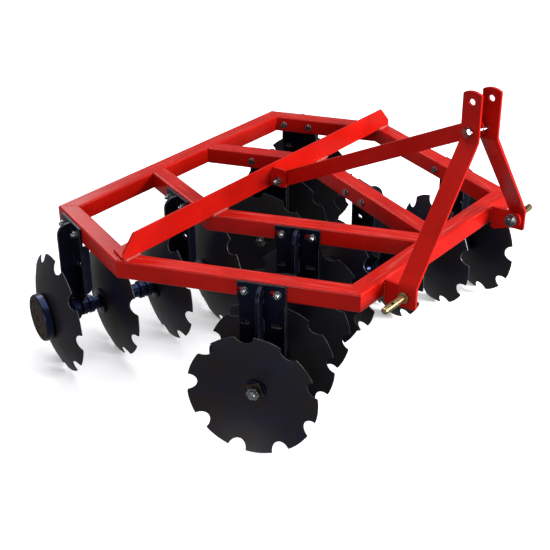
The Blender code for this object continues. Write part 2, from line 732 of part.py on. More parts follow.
def gangs_of_side(side, lines):
    word = "left" if side > 0 else "right"
    last = (DISCS_PER_GANG - 1) * DISC_PITCH

    wide, along, into = lines["front"]
    at_beam = wide + along * FRONT_GANG_ALONG
    nut_hub = at_beam + into * FRONT_FIRST_HUB
    bell_hub = nut_hub + into * last
    gang("front_" + word, Vector((bell_hub.x, bell_hub.y, AXLE_Z)), -into, FRONT_PHASES)
    hanger("front_" + word + "_outer_hanger", at_beam, -into)
    reach = (lines["front_inner"] - wide).dot(into)
    hanger("front_" + word + "_inner_hanger", at_beam + into * reach, -into)

    wide, along, into = lines["rear"]
    at_beam = wide + along * REAR_GANG_ALONG
    bell_hub = at_beam + into * REAR_FIRST_HUB
    gang("rear_" + word, Vector((bell_hub.x, bell_hub.y, AXLE_Z)), into, REAR_PHASES)
    hanger("rear_" + word + "_outer_hanger", at_beam, -into)
    reach = (lines["front_inner"] - wide).dot(into)
    hanger("rear_" + word + "_inner_hanger", at_beam + into * reach, -into)


def main():
    clear_scene()
    left = frame_side(1)
    right = frame_side(-1)
    cross_beams(left, right)
    cross_angle()
    brace_and_lug()
    for side in (1, -1):
        mast_bar(side)
        hitch(side)
    gangs_of_side(1, left)
    gangs_of_side(-1, right)


main()
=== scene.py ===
"""Looks of a mounted tandem disc harrow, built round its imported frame.

Metres, +Z up. The machine travels towards -Y and its left side is +X. A gang's own
frame has +X along its axle from the end bell to the nut, and a hanger's own frame
has +X outwards from the face of its beam.
"""

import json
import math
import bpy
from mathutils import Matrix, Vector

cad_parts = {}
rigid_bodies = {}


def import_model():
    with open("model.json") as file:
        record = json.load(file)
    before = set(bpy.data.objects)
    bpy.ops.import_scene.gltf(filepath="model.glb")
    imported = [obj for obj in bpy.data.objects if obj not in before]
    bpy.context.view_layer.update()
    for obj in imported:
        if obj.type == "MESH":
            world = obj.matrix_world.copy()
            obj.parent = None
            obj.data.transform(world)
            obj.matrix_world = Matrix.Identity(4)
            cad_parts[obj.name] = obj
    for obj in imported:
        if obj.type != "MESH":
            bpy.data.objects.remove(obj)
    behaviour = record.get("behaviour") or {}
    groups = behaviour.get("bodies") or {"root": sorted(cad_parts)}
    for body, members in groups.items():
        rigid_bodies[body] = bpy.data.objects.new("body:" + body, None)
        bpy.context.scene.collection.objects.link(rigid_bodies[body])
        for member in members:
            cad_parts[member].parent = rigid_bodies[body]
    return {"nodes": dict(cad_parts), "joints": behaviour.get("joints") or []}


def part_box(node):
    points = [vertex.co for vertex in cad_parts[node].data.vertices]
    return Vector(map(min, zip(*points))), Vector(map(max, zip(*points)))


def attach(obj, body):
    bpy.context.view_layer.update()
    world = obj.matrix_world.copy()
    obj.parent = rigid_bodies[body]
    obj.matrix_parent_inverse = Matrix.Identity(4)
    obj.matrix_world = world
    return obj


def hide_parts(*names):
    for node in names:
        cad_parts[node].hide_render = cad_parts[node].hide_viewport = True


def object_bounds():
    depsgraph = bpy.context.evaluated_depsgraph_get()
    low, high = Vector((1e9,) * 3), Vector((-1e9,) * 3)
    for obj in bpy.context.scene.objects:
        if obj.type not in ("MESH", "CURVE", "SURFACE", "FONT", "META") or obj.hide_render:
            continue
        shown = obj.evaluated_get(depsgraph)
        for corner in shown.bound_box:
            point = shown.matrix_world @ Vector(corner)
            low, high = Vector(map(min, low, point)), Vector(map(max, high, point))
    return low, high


bl_info = {
    "name": "Disc Harrow",
    "version": (1, 0, 0),
    "blender": (4, 5, 0),
    "location": "3D View > Sidebar > Harrow",
    "description": "Builds a mounted disc harrow round its packed frame",
    "category": "Object",
}

import bmesh
import bpy
from mathutils import Matrix, Vector

for startup_object in list(bpy.data.objects):
    bpy.data.objects.remove(startup_object, do_unlink=True)
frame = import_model()
CAD_LOW, CAD_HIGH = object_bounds()

UP = Vector((0.0, 0.0, 1.0))
AHEAD = Vector((0.0, -1.0, 0.0))
SIDES = {"left": 1.0, "right": -1.0}
ENDS = ("front", "rear")
DISCS_PER_GANG = 4
GAP = 0.0003  # left between two faces that meet
BRACE_HALF = 0.025  # half the brace's width, and the radius of its ends
PIN_RADIUS = 0.011  # of the lower hitch pins
LOW_SLOTS = 0.387  # height of the hangers' empty slots


# ---- What the frame says -----------------------------------------------------
def extreme(node, direction):
    """The corner of a CAD node that lies farthest along a direction."""
    vertices = frame["nodes"][node].data.vertices
    return max((v.co for v in vertices), key=direction.dot).copy()


def plan(point):
    return Vector((point.x, point.y, 0.0))


FRAME_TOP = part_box("front_beam")[1].z
FRAME_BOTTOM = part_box("front_beam")[0].z
TUBE = FRAME_TOP - FRAME_BOTTOM
JOINTS = {joint["child"]: joint for joint in frame["joints"]}
AXLE_Z = JOINTS["front_left_gang"]["pos_m"][2]


def axes(x, y, z):
    """The turn whose own axes point these three ways."""
    return Matrix((x, y, z)).transposed().to_4x4()


def gang_axis(gang):
    return Vector(JOINTS[gang]["axis"]).normalized()


def gang_place(gang):
    """The gang's own frame: its origin is the hub beside the end bell."""
    axis = gang_axis(gang)
    return Matrix.Translation(JOINTS[gang]["pos_m"]) @ axes(axis, UP.cross(axis), UP)


def disc_pitch(gang):
    axis = gang_axis(gang)
    last = extreme(f"{gang[:-5]}_disc_{DISCS_PER_GANG}", axis).dot(axis)
    first = extreme(f"{gang[:-5]}_disc_1", axis).dot(axis)
    return (last - first) / (DISCS_PER_GANG - 1)


def side_corners(side):
    """Plan corners of one side of the frame, on the tubes' outer faces."""
    out = Vector((SIDES[side], 0.0, 0.0))
    return {
        "front": plan(extreme("front_beam", out)),
        "wide": plan(extreme(f"{side}_front_side_beam", out)),
        "rear": plan(extreme("rear_beam", out)),
        "meet": plan(extreme(f"{side}_front_inner_beam", out)),
    }


def level_normal(direction, towards):
    """The level unit vector square to a direction, on the side of another vector."""
    normal = Vector((direction.y, -direction.x, 0.0)).normalized()
    return normal if normal.dot(towards) > 0 else -normal


def hanger_place(end, side, row):
    """A hanger's own frame, on the ground under the face of the beam it hangs on."""
    corners = side_corners(side)
    along = (corners[end] - corners["wide"]).normalized()
    out = level_normal(along, Vector((SIDES[side], 0.0, 0.0)))
    start = corners["wide" if row == "outer" else "meet"]
    axle = Vector(JOINTS[f"{end}_{side}_gang"]["pos_m"])
    point = start + along * (plan(axle) - start).dot(along)
    return Matrix.Translation(point) @ axes(out, UP.cross(out), UP)


# ---- Settings ------------------------------------------------------------------
def linear(code):
    """The linear colour of an sRGB hex value such as "#c0281c"."""
    values = [int(code[i:i + 2], 16) / 255.0 for i in (1, 3, 5)]
    return [v / 12.92 if v <= 0.04045 else ((v + 0.055) / 1.055) ** 2.4 for v in values]


def length_property(name, description, millimetres):
    return bpy.props.FloatProperty(
        name=name, description=description, default=millimetres / 1000.0,
        min=0.0, unit="LENGTH", precision=4)


def angle_property(name, description, degrees):
    return bpy.props.FloatProperty(
        name=name, description=description, default=math.radians(degrees), unit="ROTATION")


def colour_property(name, description, code):
    return bpy.props.FloatVectorProperty(
        name=name, description=description, default=linear(code),
        subtype="COLOR", size=3, min=0.0, max=1.0)


class HarrowPaint(bpy.types.PropertyGroup):
    """Colours of the paints, platings and bare metals, and of the painted highlight"""
    red: colour_property("Red", "Powder coat of the frame and mast", "#a81008")
    # Painted highlight: a pale pink painted on the tubes' tops and on the weld beads, standing in
    # for the gloss of the lamps
    painted_highlight: colour_property("Painted highlight", "Pale streaks on the tubes' tops", "#c07a70")
    black: colour_property("Black", "Paint of the hangers", "#08080e")
    spool: colour_property("Spool black", "Paint of the cast spools", "#07080e")
    sheen: colour_property("Blue sheen", "Tint of the castings' gloss", "#7f9cf0")
    blade: colour_property("Blade", "Coat of the rolled discs", "#18192c")
    blade_tint: colour_property("Blade tint", "Brown cast where the coat is thin", "#1f1811")
    steel: colour_property("Bare steel", "Ground edges and rubbed corners", "#a9a7a3")
    zinc: colour_property("Zinc", "Plating of the bolts and nuts", "#9a9da1")
    yellow_zinc: colour_property("Yellow zinc", "Plating of the hitch pins", "#b5a274")
    cast: colour_property("Casting", "Turned face of the end bells", "#33271e")
    rust: colour_property("Rust", "Rust on washers and castings", "#2e1c13")


class HarrowFrame(bpy.types.PropertyGroup):
    """Sizes of the welded frame"""
    corner: length_property("Tube corner", "Outside corner radius of the tube", 7.0)
    bead: length_property("Bead width", "Width of a weld bead", 8.0)
    # Strength of the painted highlight streaks on the tubes' tops
    streaks: bpy.props.FloatProperty(
        name="Streaks", description="Strength of the streaks on the tubes' tops",
        default=0.34, min=0.0, max=1.0, subtype="FACTOR")


class HarrowMast(bpy.types.PropertyGroup):
    """Sizes of the mast, brace and hitch"""
    thickness: length_property("Bar thickness", "Thickness of the mast bars", 10.0)
    bend: length_property("Bend radius", "Radius of the bends at mid thickness", 22.0)
    pin_radius: length_property("Top hole", "Radius of the top link holes", 9.8)
    hole_drop: length_property("Hole drop", "Top hole below the top of the bars", 32.0)
    crown: length_property("Crown", "How far the bars' tops are rounded", 9.0)


class HarrowHanger(bpy.types.PropertyGroup):
    """Sizes of the bolted hangers"""
    width: length_property("Width", "Width of the plate along the beam", 150.0)
    thickness: length_property("Thickness", "Thickness of the plate", 8.0)
    rib: length_property("Rib", "Thickness of the middle rib", 10.0)
    bolt_spread: length_property("Bolt spread", "Each bolt from the middle", 50.0)
    bolt: length_property("Bolt", "Across the flats of the bolts and nuts", 19.5)
    housing_length: length_property("Housing", "Length of the bearing housing", 36.0)
    housing_out: length_property("Housing place", "Its middle from the beam's face", 26.0)
    housing_radius: length_property("Housing radius", "Outside radius of the housing", 40.0)
    bore: length_property("Bore", "Radius of the bearing's bore", 24.5)


class HarrowGang(bpy.types.PropertyGroup):
    """Sizes of the gangs"""
    notches: bpy.props.IntProperty(
        name="Notches", description="Notches round a disc", default=9, min=3)
    notch_depth: length_property("Notch depth", "Depth of a notch", 29.0)
    notch_angle: angle_property("Notch angle", "Half the angle of a notch", 8.0)
    dish: length_property("Dish", "Depth of a disc's hollow", 42.0)
    thickness: length_property("Disc thickness", "Thickness of a disc", 4.0)
    flat: length_property("Flat", "Radius of the flat middle", 50.0)
    edge: length_property("Edge", "Width of the thinned edge", 4.0)
    shaft: length_property("Shaft", "Radius of the shaft", 14.0)
    spool: length_property("Spool", "Radius of the spool's neck", 24.0)
    flange: length_property("Flange", "Radius of the spool's flanges", 44.0)
    bell: length_property("End bell", "Radius of the end bell", 81.0)
    bell_length: length_property("Bell length", "Length of the end bell", 30.0)


class HarrowStage(bpy.types.PropertyGroup):
    """Camera and floor"""
    azimuth: angle_property("Azimuth", "Camera's turn round the machine", -51.09)
    elevation: angle_property("Elevation", "Camera's height above the horizon", 28.675)
    roll: angle_property("Roll", "Camera's roll", -0.563)
    lens: bpy.props.FloatProperty(
        name="Lens", description="Focal length on a 36 mm sensor", default=73.55,
        unit="CAMERA")
    floor: colour_property("Floor", "Pale studio floor", "#f4f4f8")


GROUPS = {
    "harrow_paint": HarrowPaint,
    "harrow_frame": HarrowFrame,
    "harrow_mast": HarrowMast,
    "harrow_hanger": HarrowHanger,
    "harrow_gang": HarrowGang,
    "harrow_stage": HarrowStage,
}


# ---- Materials -----------------------------------------------------------------
def add_node(tree, kind, inputs=None, **settings):
    """Adds one node. An input is a plain value or another node's output."""
    made = tree.nodes.new(kind)
    for name, value in settings.items():
        setattr(made, name, value)
    for name, value in (inputs or {}).items():
        if isinstance(value, bpy.types.NodeSocket):
            tree.links.new(value, made.inputs[name])
        else:
            made.inputs[name].default_value = value
    return made


def per_metre(millimetres):
    """The noise scale whose cells are this wide, on coordinates in metres."""
    return 1000.0 / millimetres


def mottled(name, low, high, patch, grain, rough, depth, metallic=0.0, gloss=0.5, tint=None):
    """A surface whose colour drifts between two over patches, with a fine grain.

    Patch, grain and depth, which is the grain's height, are in millimetres. Rough is
    the roughness from and to. Gloss is the specular level and tint is its colour."""
    made = bpy.data.materials.get(name)
    if made:
        return made
    made = bpy.data.materials.new(name)
    made.use_nodes = True
    tree = made.node_tree
    shader = tree.nodes["Principled BSDF"]
    where = add_node(tree, "ShaderNodeTexCoord").outputs["Object"]
    patches = add_node(tree, "ShaderNodeTexNoise", {
        "Vector": where, "Scale": per_metre(patch), "Detail": 5.0, "Roughness": 0.6})
    fine = add_node(tree, "ShaderNodeTexNoise", {
        "Vector": where, "Scale": per_metre(grain), "Detail": 3.0, "Roughness": 0.55})
    share = add_node(tree, "ShaderNodeMapRange", {
        "Value": patches.outputs["Fac"], "From Min": 0.32, "From Max": 0.68})
    colour = add_node(tree, "ShaderNodeMix", {
        0: share.outputs[0], 6: (*low, 1.0), 7: (*high, 1.0)}, data_type="RGBA")
    roughness = add_node(tree, "ShaderNodeMapRange", {
        "Value": patches.outputs["Fac"], "From Min": 0.3, "From Max": 0.7,
        "To Min": rough[0], "To Max": rough[1]})
    bump = add_node(tree, "ShaderNodeBump", {
        "Strength": 0.6, "Distance": depth / 1000.0, "Height": fine.outputs["Fac"]})
    tree.links.new(colour.outputs[2], shader.inputs["Base Color"])
    tree.links.new(roughness.outputs[0], shader.inputs["Roughness"])
    tree.links.new(bump.outputs["Normal"], shader.inputs["Normal"])
    shader.inputs["Metallic"].default_value = metallic
    shader.inputs["Specular IOR Level"].default_value = gloss
    if tint:
        shader.inputs["Specular Tint"].default_value = (*tint, 1.0)
    return made


def shade(colour, factor):
    return [min(1.0, v * factor) for v in colour]


def red_powder_coat(name="red powder coat"):
    """Baked powder coat: smooth and glossy, with a shallow orange-peel of about 3 mm."""
    red = bpy.context.scene.harrow_paint.red
    return mottled(name, shade(red, 0.85), shade(red, 1.15), 140.0, 3.0,
                   (0.2, 0.3), 0.05, gloss=0.16)


def highlighted_bead_paint():
    """Powder coat over a weld bead, painted paler than the frame as a painted highlight on its
    round ripples, and wetter.
    """
    paint = bpy.context.scene.harrow_paint
    return mottled("red powder coat on weld with painted highlight", shade(paint.red, 1.2), shade(paint.painted_highlight, 0.9),
                   12.0, 2.0, (0.12, 0.2), 0.05, gloss=0.6)


STREAK_STRETCH = (0.04, 1.0, 1.0)  # 25 times longer along the tube than across it


def highlighted_tube_paint(along):
    """The same powder coat over rolled tube, with painted highlights: fine pale streaks run along
    its top, painted only on faces that point up.
    """
    paint = bpy.context.scene.harrow_paint
    angle = math.degrees(math.atan2(along.y, along.x)) % 180.0
    name = f"red powder coat on tube {round(angle)}"
    made = bpy.data.materials.get(name)
    if made:
        return made
    made = red_powder_coat(name)
    tree = made.node_tree
    shader = tree.nodes["Principled BSDF"]
    where = add_node(tree, "ShaderNodeTexCoord").outputs["Object"]
    turned = add_node(tree, "ShaderNodeVectorRotate", {
        "Vector": where, "Angle": -math.radians(angle)}, rotation_type="Z_AXIS")
    drawn = add_node(tree, "ShaderNodeVectorMath", {
        0: turned.outputs[0], 1: STREAK_STRETCH}, operation="MULTIPLY")
    streaks = add_node(tree, "ShaderNodeTexNoise", {
        "Vector": drawn.outputs[0], "Scale": per_metre(7.0), "Detail": 3.0,
        "Roughness": 0.6})
    # Painted highlight: the pale streaks are painted only on faces that point up, where the lamps'
    # gloss falls
    facing = add_node(tree, "ShaderNodeSeparateXYZ", {
        0: add_node(tree, "ShaderNodeNewGeometry").outputs["Normal"]})
    top = add_node(tree, "ShaderNodeMapRange", {
        "Value": facing.outputs["Z"], "From Min": 0.3, "From Max": 0.95})
    pale = add_node(tree, "ShaderNodeMapRange", {
        "Value": streaks.outputs["Fac"], "From Min": 0.56, "From Max": 0.74,
        "To Max": bpy.context.scene.harrow_frame.streaks})
    share = add_node(tree, "ShaderNodeMath", {
        0: pale.outputs[0], 1: top.outputs[0]}, operation="MULTIPLY")
    base = shader.inputs["Base Color"].links[0].from_socket
    colour = add_node(tree, "ShaderNodeMix", {
        0: share.outputs[0], 6: base, 7: (*paint.painted_highlight, 1.0)}, data_type="RGBA")
    tree.links.new(colour.outputs[2], shader.inputs["Base Color"])
    return made


def black_paint():
    """Sprayed enamel on hot-rolled plate: semi-gloss, with the scale's faint texture."""
    paint = bpy.context.scene.harrow_paint
    return mottled("black enamel on plate", shade(paint.black, 0.7), shade(paint.black, 1.4),
                   45.0, 4.0, (0.3, 0.45), 0.12, gloss=0.3, tint=paint.sheen)


def rubbed_edge():
    """The same enamel rubbed thin on a cut edge, so that grey steel shows through."""
    paint = bpy.context.scene.harrow_paint
    return mottled("rubbed enamel edge", shade(paint.black, 3.0), shade(paint.steel, 0.35),
                   18.0, 3.0, (0.3, 0.45), 0.08, metallic=0.35)


def spool_paint():
    """Glossy enamel over a sand casting: blue-black, with the sand's 2 mm grain."""
    paint = bpy.context.scene.harrow_paint
    return mottled("black enamel on casting", shade(paint.spool, 0.8), shade(paint.spool, 1.4),
                   30.0, 2.5, (0.16, 0.28), 0.08, gloss=0.6, tint=paint.sheen)


def blade_coat():
    """Thin clear black coat on rolled boron steel: dark, satin, brown where it is thin."""
    paint = bpy.context.scene.harrow_paint
    return mottled("black coat on rolled steel", paint.blade, paint.blade_tint, 110.0, 6.0,
                   (0.32, 0.48), 0.08, gloss=0.22)


def blade_edge():
    """The rim where the coat has rubbed off the rolled steel: grey, thin and broken."""
    paint = bpy.context.scene.harrow_paint
    return mottled("rubbed disc edge", shade(paint.blade, 1.2), shade(paint.steel, 0.2),
                   35.0, 2.0, (0.35, 0.5), 0.05, metallic=0.3)


def bright_zinc():
    """Electroplated zinc: silvery, slightly milky, with soft variation."""
    zinc = bpy.context.scene.harrow_paint.zinc
    return mottled("bright zinc plate", shade(zinc, 0.7), zinc, 9.0, 1.5,
                   (0.2, 0.34), 0.03, metallic=1.0)


def yellow_zinc():
    """Chromated zinc: straw yellow with a faint drift of tint."""
    zinc = bpy.context.scene.harrow_paint.yellow_zinc
    return mottled("yellow zinc plate", shade(zinc, 0.7), zinc, 14.0, 1.5,
                   (0.2, 0.34), 0.03, metallic=1.0)


def turned_casting():
    """Turned grey iron that has begun to rust: brown, dull, a little metallic."""
    paint = bpy.context.scene.harrow_paint
    return mottled("turned cast iron", paint.cast, shade(paint.rust, 0.8), 26.0, 2.0,
                   (0.5, 0.7), 0.12, metallic=0.2, gloss=0.3)


def rusty_steel():
    """Bare mild steel with an even skin of fresh rust: brown and matt."""
    rust = bpy.context.scene.harrow_paint.rust
    return mottled("rusted mild steel", shade(rust, 0.5), shade(rust, 1.1), 8.0, 1.5,
                   (0.65, 0.85), 0.15, metallic=0.1)


def studio_floor():
    """Lit studio floor: pale, even and matt, with a little light of its own."""
    floor = bpy.context.scene.harrow_stage.floor
    made = mottled("studio floor", shade(floor, 0.99), floor, 900.0, 40.0, (0.85, 0.95), 0.0)
    shader = made.node_tree.nodes["Principled BSDF"]
    shader.inputs["Emission Color"].default_value = (1.0, 1.0, 1.0, 1.0)
    shader.inputs["Emission Strength"].default_value = 0.3
    return made


# ---- Mesh helpers ----------------------------------------------------------------
def arc(centre, radius, start, stop, steps):
    """Points on an arc between two angles in degrees."""
    angles = [math.radians(start + (stop - start) * k / steps) for k in range(steps + 1)]
    return [(centre[0] + radius * math.cos(a), centre[1] + radius * math.sin(a)) for a in angles]


def circle(centre, radius, steps=28):
    return arc(centre, radius, 0.0, 360.0 * (steps - 1) / steps, steps - 1)


def slot(centre, length, width):
    """A level slot with round ends."""
    run = (length - width) / 2.0
    right = arc((centre[0] + run, centre[1]), width / 2.0, -90.0, 90.0, 8)
    return right + arc((centre[0] - run, centre[1]), width / 2.0, 90.0, 270.0, 8)


def aim(point, direction):
    """Places local +X along a direction at a point."""
    x = direction.normalized()
    near_up = UP if abs(x.z) < 0.9 else Vector((0.0, 1.0, 0.0))
    y = near_up.cross(x).normalized()
    turn = Matrix((x, y, x.cross(y))).transposed().to_4x4()
    return Matrix.Translation(point) @ turn


SHARP = math.radians(35.0)


def upright(x, y=0.0, z=0.0):
    """Turns an outline in XY up into the YZ plane, its thickness along +X."""
    return Matrix(((0, 0, 1, x), (1, 0, 0, y), (0, 1, 0, z), (0, 0, 0, 1)))


def edgeways(y):
    """Stands a plate drawn in x and z on its edge, with its thickness from y on."""
    return Matrix(((1, 0, 0, 0), (0, 0, 1, y), (0, 1, 0, 0), (0, 0, 0, 1)))


def corner_edges(bm):
    bmesh.ops.recalc_face_normals(bm, faces=bm.faces)
    return [e for e in bm.edges if e.calc_face_angle(0.0) > SHARP]


def soften(bm, width, material=-1):
    """Rounds every corner edge a little, as a real one is."""
    bmesh.ops.bevel(
        bm, geom=corner_edges(bm), offset=width, offset_type="OFFSET", segments=2,
        profile=0.5, affect="EDGES", clamp_overlap=True, material=material)


def thicken(bm, vector):
    """Draws the flat faces out into a solid along a vector; returns the moved corners."""
    made = bmesh.ops.extrude_face_region(bm, geom=bm.faces[:])
    verts = [g for g in made["geom"] if isinstance(g, bmesh.types.BMVert)]
    bmesh.ops.translate(bm, vec=vector, verts=verts)
    return verts


def plate(outline, thickness, holes=(), edge=0.0008, edge_material=-1):
    """A plate cut from an outline in the XY plane, with holes and softened edges."""
    bm = bmesh.new()
    edges = []
    for loop in (outline, *holes):
        verts = [bm.verts.new((x, y, 0.0)) for x, y in loop]
        edges += [bm.edges.new(pair) for pair in zip(verts, verts[1:] + verts[:1])]
    bmesh.ops.triangle_fill(bm, use_beauty=True, use_dissolve=False, edges=edges)
    thicken(bm, (0.0, 0.0, thickness))
    soften(bm, edge, edge_material)
    return bm


def lathe(profile, steps, closed=False):
    """Spins (along, radius) points round local X."""
    bm = bmesh.new()
    verts = [bm.verts.new((x, 0.0, r)) for x, r in profile]
    pairs = list(zip(verts, verts[1:])) + ([(verts[-1], verts[0])] if closed else [])
    edges = [bm.edges.new(pair) for pair in pairs]
    bmesh.ops.spin(
        bm, geom=verts + edges, cent=(0.0, 0.0, 0.0), axis=(1.0, 0.0, 0.0),
        angle=2.0 * math.pi, steps=steps, use_merge=True)
    bmesh.ops.remove_doubles(bm, verts=bm.verts, dist=1e-6)
    return bm


def both_ends(start, end, shape, between=()):
    """A profile with the same shape at each end, given as (distance in, radius)."""
    first = [(start + x, r) for x, r in shape]
    last = [(end - x, r) for x, r in reversed(shape)]
    return first + list(between) + last


def hexagon(start, length, across):
    """A hexagon nut or bolt head along local X, its corners chamfered."""
    bm = bmesh.new()
    radius = across / math.sqrt(3.0)
    bmesh.ops.create_cone(
        bm, cap_ends=True, segments=6, radius1=radius, radius2=radius, depth=length)
    bmesh.ops.bevel(
        bm, geom=bm.verts[:], offset=across * 0.07, offset_type="OFFSET", segments=1,
        profile=0.5, affect="VERTICES", material=-1)
    soften(bm, across * 0.012)
    turn = Matrix.Rotation(math.pi / 2.0, 4, "Y")
    bmesh.ops.transform(bm, matrix=turn, verts=bm.verts)
    bmesh.ops.translate(bm, vec=(start + length / 2.0, 0.0, 0.0), verts=bm.verts)
    return bm


def washer(start, length, inner, outer):
    edge = length * 0.2
    return lathe([
        (start, inner), (start, outer - edge), (start + edge, outer),
        (start + length - edge, outer), (start + length, outer - edge),
        (start + length, inner)], 24, closed=True)


def thread(start, length, radius, pitch=0.0025):
    """A threaded end along local X with a chamfered tip."""
    turns = max(1, round(length / pitch))
    profile = [(start, 0.0), (start, radius)]
    for k in range(turns):
        x = start + length * k / turns
        step = length / turns
        profile += [(x + step * 0.5, radius * 0.9), (x + step, radius)]
    profile[-1] = (start + length, radius * 0.86)
    return lathe(profile + [(start + length, 0.0)], 18)


def bead(start, end, width, height, up, ripple=0.003):
    """A rippled weld bead laid from start to end, its middle on that line."""
    run = end - start
    steps = max(3, round(run.length / ripple)) * 2
    bm = bmesh.new()
    bmesh.ops.create_circle(bm, cap_ends=True, segments=10, radius=1.0)
    size = 0.45
    bmesh.ops.scale(bm, vec=(size, size, 1.0), verts=bm.verts)
    face = bm.faces[:]
    for k in range(1, steps + 1):
        made = bmesh.ops.extrude_face_region(bm, geom=face)
        face = [g for g in made["geom"] if isinstance(g, bmesh.types.BMFace)]
        verts = [g for g in made["geom"] if isinstance(g, bmesh.types.BMVert)]
        wanted = 0.45 if k == steps else (1.0 if k % 2 else 0.84)
        bmesh.ops.translate(bm, vec=(0.0, 0.0, 1.0), verts=verts)
        bmesh.ops.scale(bm, vec=(wanted / size, wanted / size, 1.0), verts=verts)
        size = wanted
    along = run.normalized()
    across = up.cross(along).normalized()
    rise = along.cross(across)
    shape = Matrix((across * width / 2.0, rise * height, run / steps)).transposed().to_4x4()
    bmesh.ops.transform(bm, matrix=Matrix.Translation(start) @ shape, verts=bm.verts)
    return bm


def edge_beads(low, high, foot, top, width, height):
    """A bead up each side of an upright plate, where its rear edge meets a beam."""
    made = []
    for x, lean in ((low.x, -1.0), (high.x, 1.0)):
        lift = (AHEAD + Vector((lean, 0.0, 0.0))).normalized()
        start, end = Vector((x, high.y, foot)), Vector((x, high.y, top))
        made.append(bead(start, end, width, height, lift))
    return made


def slice_off(bm, point, outward):
    """Removes what lies beyond a plane and closes the cut."""
    bmesh.ops.bisect_plane(
        bm, geom=bm.verts[:] + bm.edges[:] + bm.faces[:], dist=1e-6,
        plane_co=point, plane_no=outward, clear_outer=True)
    bmesh.ops.holes_fill(bm, edges=[e for e in bm.edges if e.is_boundary], sides=0)


def fold(bm, at, angle, radius, steps=6):
    """Bends what lies beyond x = at about Y, as a press brake bends a flat bar."""
    length = radius * abs(angle)
    for k in range(steps + 1):
        bmesh.ops.bisect_plane(
            bm, geom=bm.verts[:] + bm.edges[:] + bm.faces[:], dist=1e-6,
            plane_co=(at + length * k / steps, 0.0, 0.0), plane_no=(1.0, 0.0, 0.0))
    middle = math.copysign(radius, angle)
    for vert in bm.verts:
        run = vert.co.x - at
        if run <= 0.0:
            continue
        turned = angle * min(run / length, 1.0)
        beyond = max(run - length, 0.0)
        height = vert.co.z
        sine, cosine = math.sin(turned), math.cos(turned)
        vert.co.x = at + middle * sine + beyond * cosine - height * sine
        vert.co.z = middle * (1.0 - cosine) + beyond * sine + height * cosine


def placed(bm, matrix):
    bmesh.ops.transform(bm, matrix=matrix, verts=bm.verts)
    return bm


def piece(name, parts, body, materials, stands_for=()):
    """Makes one object of closed shapes, at the origin, riding on a body.

    Each part is a bmesh, or (bmesh, index of its material)."""
    mesh = bpy.data.meshes.new(name)
    whole = bmesh.new()
    for part in parts:
        bm, index = part if isinstance(part, tuple) else (part, None)
        bmesh.ops.recalc_face_normals(bm, faces=bm.faces)
        if index is not None:
            for face in bm.faces:
                face.material_index = index
        bm.to_mesh(mesh)
        bm.free()
        whole.from_mesh(mesh)
    for face in whole.faces:
        face.smooth = True
    for edge in whole.edges:
        edge.smooth = edge.calc_face_angle(math.pi) < SHARP
    whole.to_mesh(mesh)
    whole.free()
    for made in materials:
        mesh.materials.append(made)
    obj = bpy.data.objects.new(name, mesh)
    bpy.context.scene.collection.objects.link(obj)
    weighted = obj.modifiers.new("Flat faces stay flat", "WEIGHTED_NORMAL")
    weighted.keep_sharp = True
    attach(obj, body)
    if stands_for:
        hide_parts(*stands_for)
    return obj


def red_piece(name, parts, paint, *stands_for):
    return piece(name, parts, "frame", paint, stands_for)


def zinc_piece(name, parts, body="frame"):
    return piece(name, parts, body, [bright_zinc()])


def bolted(point, out, grip, across):
    """Washer, nut and thread on one side of a joint, and the head on the other.

    The nut bears at the point, out is the way it faces, and grip is what it clamps."""
    radius = across / 3.0
    nut = across * 0.46
    parts = [
        washer(0.0, 0.0025, radius, across * 0.62),
        hexagon(0.0025, nut, across),
        thread(0.0025 + nut - 0.001, across * 0.5, radius),
        washer(-grip - 0.0025, 0.0025, radius, across * 0.62),
        hexagon(-grip - 0.0025 - across * 0.42, across * 0.42, across),
    ]
    return [placed(part, aim(point, out)) for part in parts]


# ---- Frame -----------------------------------------------------------------------
def tube(start, end, inner, cuts):
    """A square tube whose outer top edge runs through start and end."""
    corner = bpy.context.scene.harrow_frame.corner
    along = (end - start).normalized()
    spare = TUBE * 3.0
    bm = bmesh.new()
    bmesh.ops.create_grid(bm, x_segments=1, y_segments=1, size=TUBE / 2.0)
    bmesh.ops.bevel(
        bm, geom=bm.verts[:], offset=corner, offset_type="OFFSET", segments=6,
        profile=0.5, affect="VERTICES", material=-1)
    thicken(bm, (0.0, 0.0, (end - start).length + 2.0 * spare))
    middle = start - along * spare + inner * TUBE / 2.0 + UP * (FRAME_TOP - TUBE / 2.0)
    placed(bm, Matrix.Translation(middle) @ axes(inner, along.cross(inner), along))
    for point, outward in cuts:
        slice_off(bm, point, outward)
    return bm


def mitre(corner, inner_a, inner_b, along_b):
    """The upright plane through the outer and inner corners of two tubes, facing b."""
    return corner, level_normal(inner_a + inner_b, along_b)


